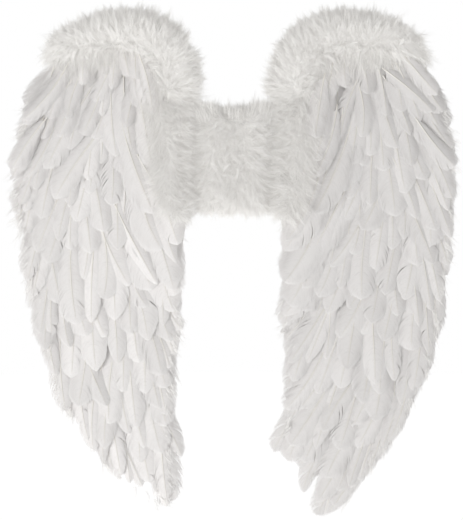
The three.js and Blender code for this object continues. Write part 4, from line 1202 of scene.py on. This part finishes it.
# ---- back cushion: brushed cotton over a soft filling, blown up and left with its piped seam
def cushion():
    src = nodes["back_cushion"]
    ob = bpy.data.objects.new("cushion_cover", src.data.copy())
    scene.collection.objects.link(ob)
    # a slightly smaller block to start from
    me = ob.data
    co = np.zeros(len(me.vertices) * 3, np.float32)
    me.vertices.foreach_get("co", co)
    co = co.reshape(-1, 3)
    centre = (co.min(0) + co.max(0)) / 2
    co = centre + (co - centre) * np.array([0.955, 0.86, 0.975])
    me.vertices.foreach_set("co", co.astype(np.float32).ravel())
    for m in list(ob.modifiers):
        ob.modifiers.remove(m)
    rm = ob.modifiers.new("voxels", "REMESH")
    rm.mode = "VOXEL"
    rm.voxel_size = 0.003
    rm.use_smooth_shade = True
    dg = bpy.context.evaluated_depsgraph_get()
    fine = bpy.data.meshes.new_from_object(ob.evaluated_get(dg))
    ob.modifiers.clear()
    ob.data = fine
    n = len(fine.vertices)
    rest = np.zeros(n * 3, np.float32)
    fine.vertices.foreach_get("co", rest)
    rest = rest.reshape(-1, 3).astype(float)
    pin = ob.vertex_groups.new(name="sewn_back")
    pin.add([int(i) for i in np.where(rest[:, 1] < rest[:, 1].min() + 0.0012)[0]], 1.0, "REPLACE")
    cl = ob.modifiers.new("cloth", "CLOTH")
    st = cl.settings
    st.quality = 6
    st.mass = 0.25
    st.use_pressure = True
    st.uniform_pressure_force = 4.0
    st.tension_stiffness = 18
    st.compression_stiffness = 12
    st.shear_stiffness = 6
    st.bending_stiffness = 0.4
    st.vertex_group_mass = "sewn_back"
    st.effector_weights.gravity = 0.0
    cl.collision_settings.use_collision = False
    cl.collision_settings.use_self_collision = False
    cl.point_cache.frame_start, cl.point_cache.frame_end = 1, 20
    for f in range(1, 21):
        scene.frame_set(f)
    dg = bpy.context.evaluated_depsgraph_get()
    done = bpy.data.meshes.new_from_object(ob.evaluated_get(dg))
    moved = np.zeros(n * 3, np.float32)
    done.vertices.foreach_get("co", moved)
    moved = moved.reshape(-1, 3).astype(float)
    ob.modifiers.clear()
    scene.frame_set(1)
    step = moved - rest
    far = np.linalg.norm(step, axis=1, keepdims=True)
    moved = rest + step * np.minimum(1, 0.0062 / np.maximum(far, 1e-9))
    # flat where it rests on the board; soft creases run in from the seam
    for i in range(n):
        x, y, z = moved[i] / MM
        d_edge = min(27 - abs(x), 48 - abs(z))
        if y > -7:
            crease = fields.noise(Vector((x * 0.16, z * 0.16, 4.0))) * 0.55 * math.exp(-((d_edge - 4) / 7) ** 2)
            moved[i, 1] += crease * MM
    moved[:, 1] = np.maximum(moved[:, 1], -0.00985)
    moved[:, 1] = np.minimum(moved[:, 1], 0.0062)
    fine.vertices.foreach_set("co", moved.astype(np.float32).ravel())
    fine.update()
    sub = ob.modifiers.new("sub", "SUBSURF")
    sub.levels = sub.render_levels = 1
    dg = bpy.context.evaluated_depsgraph_get()
    final = bpy.data.meshes.new_from_object(ob.evaluated_get(dg))
    ob.modifiers.clear()
    ob.data = final
    for poly in final.polygons:
        poly.use_smooth = True
    dress(ob, M_CUSHION)
    return ob


pad = cushion()
me = pad.data
me.calc_loop_triangles()
pad_co = [v.co.copy() for v in me.vertices]
pad_tree = BVHTree.FromPolygons(pad_co, [tuple(t.vertices) for t in me.loop_triangles])
ring = []
for a in np.linspace(0, 2 * math.pi, 160, endpoint=False):
    d = Vector((math.cos(a), 0, math.sin(a) * 1.7)).normalized()
    hit = pad_tree.ray_cast(Vector((0, -0.0055, 0)) + d * 0.2, -d)
    if hit[0] is not None:
        ring.append(np.array(hit[0]) / MM)
ring = np.array(ring)
for _ in range(2):
    ring = (np.roll(ring, 1, 0) + 2 * ring + np.roll(ring, -1, 0)) / 4
n_r = 10
tan = unit(np.roll(ring, -1, 0) - np.roll(ring, 1, 0))
yax = np.array([0.0, 1.0, 0.0])
nrm = unit(np.cross(tan, yax))
tube_co = np.stack([ring + (nrm * math.cos(a) + yax * math.sin(a)) * 1.15 for a in np.arange(n_r) * 2 * math.pi / n_r], 1).reshape(-1, 3)
i = np.arange(len(ring))[:, None] * n_r
i2 = ((np.arange(len(ring)) + 1) % len(ring))[:, None] * n_r
j = np.arange(n_r)[None]
piping = mesh_object("cushion_piping", tube_co * MM, np.stack([i + j, i + (j + 1) % n_r, i2 + (j + 1) % n_r, i2 + j], -1).reshape(-1, 4))
bm = bmesh.new()
bm.from_mesh(piping.data)
bmesh.ops.recalc_face_normals(bm, faces=bm.faces)
bm.to_mesh(piping.data)
bm.free()
dress(piping, M_CUSHION)
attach(pad, "centre")
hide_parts("back_cushion")
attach(piping, "centre")
# a seam of small stitches just inside the piping, on the wearer's side
seam, face = [], []
for a in np.linspace(0, 2 * math.pi, 200, endpoint=False):
    x, z = 22.6 * math.copysign(abs(math.cos(a)) ** 0.36, math.cos(a)), 43.4 * math.copysign(abs(math.sin(a)) ** 0.30, math.sin(a))
    hit = pad_tree.ray_cast(Vector((x * MM, 0.05, z * MM)), Vector((0, -1, 0)))
    if hit[0] is not None:
        seam.append(np.array(hit[0]) / MM)
        face.append(np.array(hit[1]))
stitches("cushion_stitches", "centre", np.array(seam), np.array(face), closed=True, pitch=3.6, long=2.4)


# ---------------------------------------------------- floor, light, camera
me = bpy.data.meshes.new("studio_floor")
bm = bmesh.new()
bmesh.ops.create_circle(bm, cap_ends=True, radius=14.0, segments=96)
bmesh.ops.translate(bm, verts=bm.verts, vec=(0, 0, -1.35))
bm.to_mesh(me)
bm.free()
floor = bpy.data.objects.new("studio_floor", me)
scene.collection.objects.link(floor)
fm = Mat("studio_floor", roughness=0.9, Emission_Strength=0.68)
fm.bsdf.inputs["Emission Color"].default_value = (1, 1, 1, 1)
fm.colour(fm.ramp(fm.noise(0.6, 2), [(0.3, (0.93, 0.93, 0.93)), (0.7, (0.95, 0.95, 0.95))]))
dress(floor, fm.mat)

world = bpy.data.worlds.new("studio")
world.use_nodes = True
scene.world = world
wn = world.node_tree
bg = wn.nodes["Background"]
out = wn.nodes["World Output"]
bg.inputs["Color"].default_value = (1.0, 0.995, 0.985, 1)
bg.inputs["Strength"].default_value = 0.37
white = wn.nodes.new("ShaderNodeBackground")
white.inputs["Color"].default_value = (1, 1, 1, 1)
white.inputs["Strength"].default_value = 1.0
path = wn.nodes.new("ShaderNodeLightPath")
mix = wn.nodes.new("ShaderNodeMixShader")
wn.links.new(path.outputs["Is Camera Ray"], mix.inputs[0])
wn.links.new(bg.outputs[0], mix.inputs[1])
wn.links.new(white.outputs[0], mix.inputs[2])
wn.links.new(mix.outputs[0], out.inputs["Surface"])


def area(name, where, target, size, power, colour=(1, 1, 1)):
    lamp = bpy.data.lights.new(name, "AREA")
    lamp.shape = "DISK"
    lamp.size = size
    lamp.energy = power
    lamp.color = colour
    ob = bpy.data.objects.new(name, lamp)
    scene.collection.objects.link(ob)
    ob.location = where
    ob.rotation_mode = "QUATERNION"
    ob.rotation_quaternion = (Vector(where) - Vector(target)).to_track_quat("Z", "Y")
    return ob


area("key", (-1.15, -1.45, -0.55), (-0.05, 0, -0.12), 0.7, 12, (1.0, 0.99, 0.98))
area("back_fill", (1.7, 1.5, 1.3), (0, 0, -0.05), 0.9, 13, (1.0, 0.995, 0.99))

cam_data = bpy.data.cameras.new("camera")
cam_data.lens = 100
cam_data.sensor_width = 36
cam_data.clip_end = 60
cam = bpy.data.objects.new("camera", cam_data)
scene.collection.objects.link(cam)
cam.location = (-0.0023, -1.7128, -0.1153)
cam.rotation_euler = (math.radians(90), 0, 0)
scene.camera = cam
scene.view_settings.view_transform = "Standard"
scene.view_settings.look = "None"
scene.view_settings.exposure = 0.0
scene.view_settings.gamma = 1.0
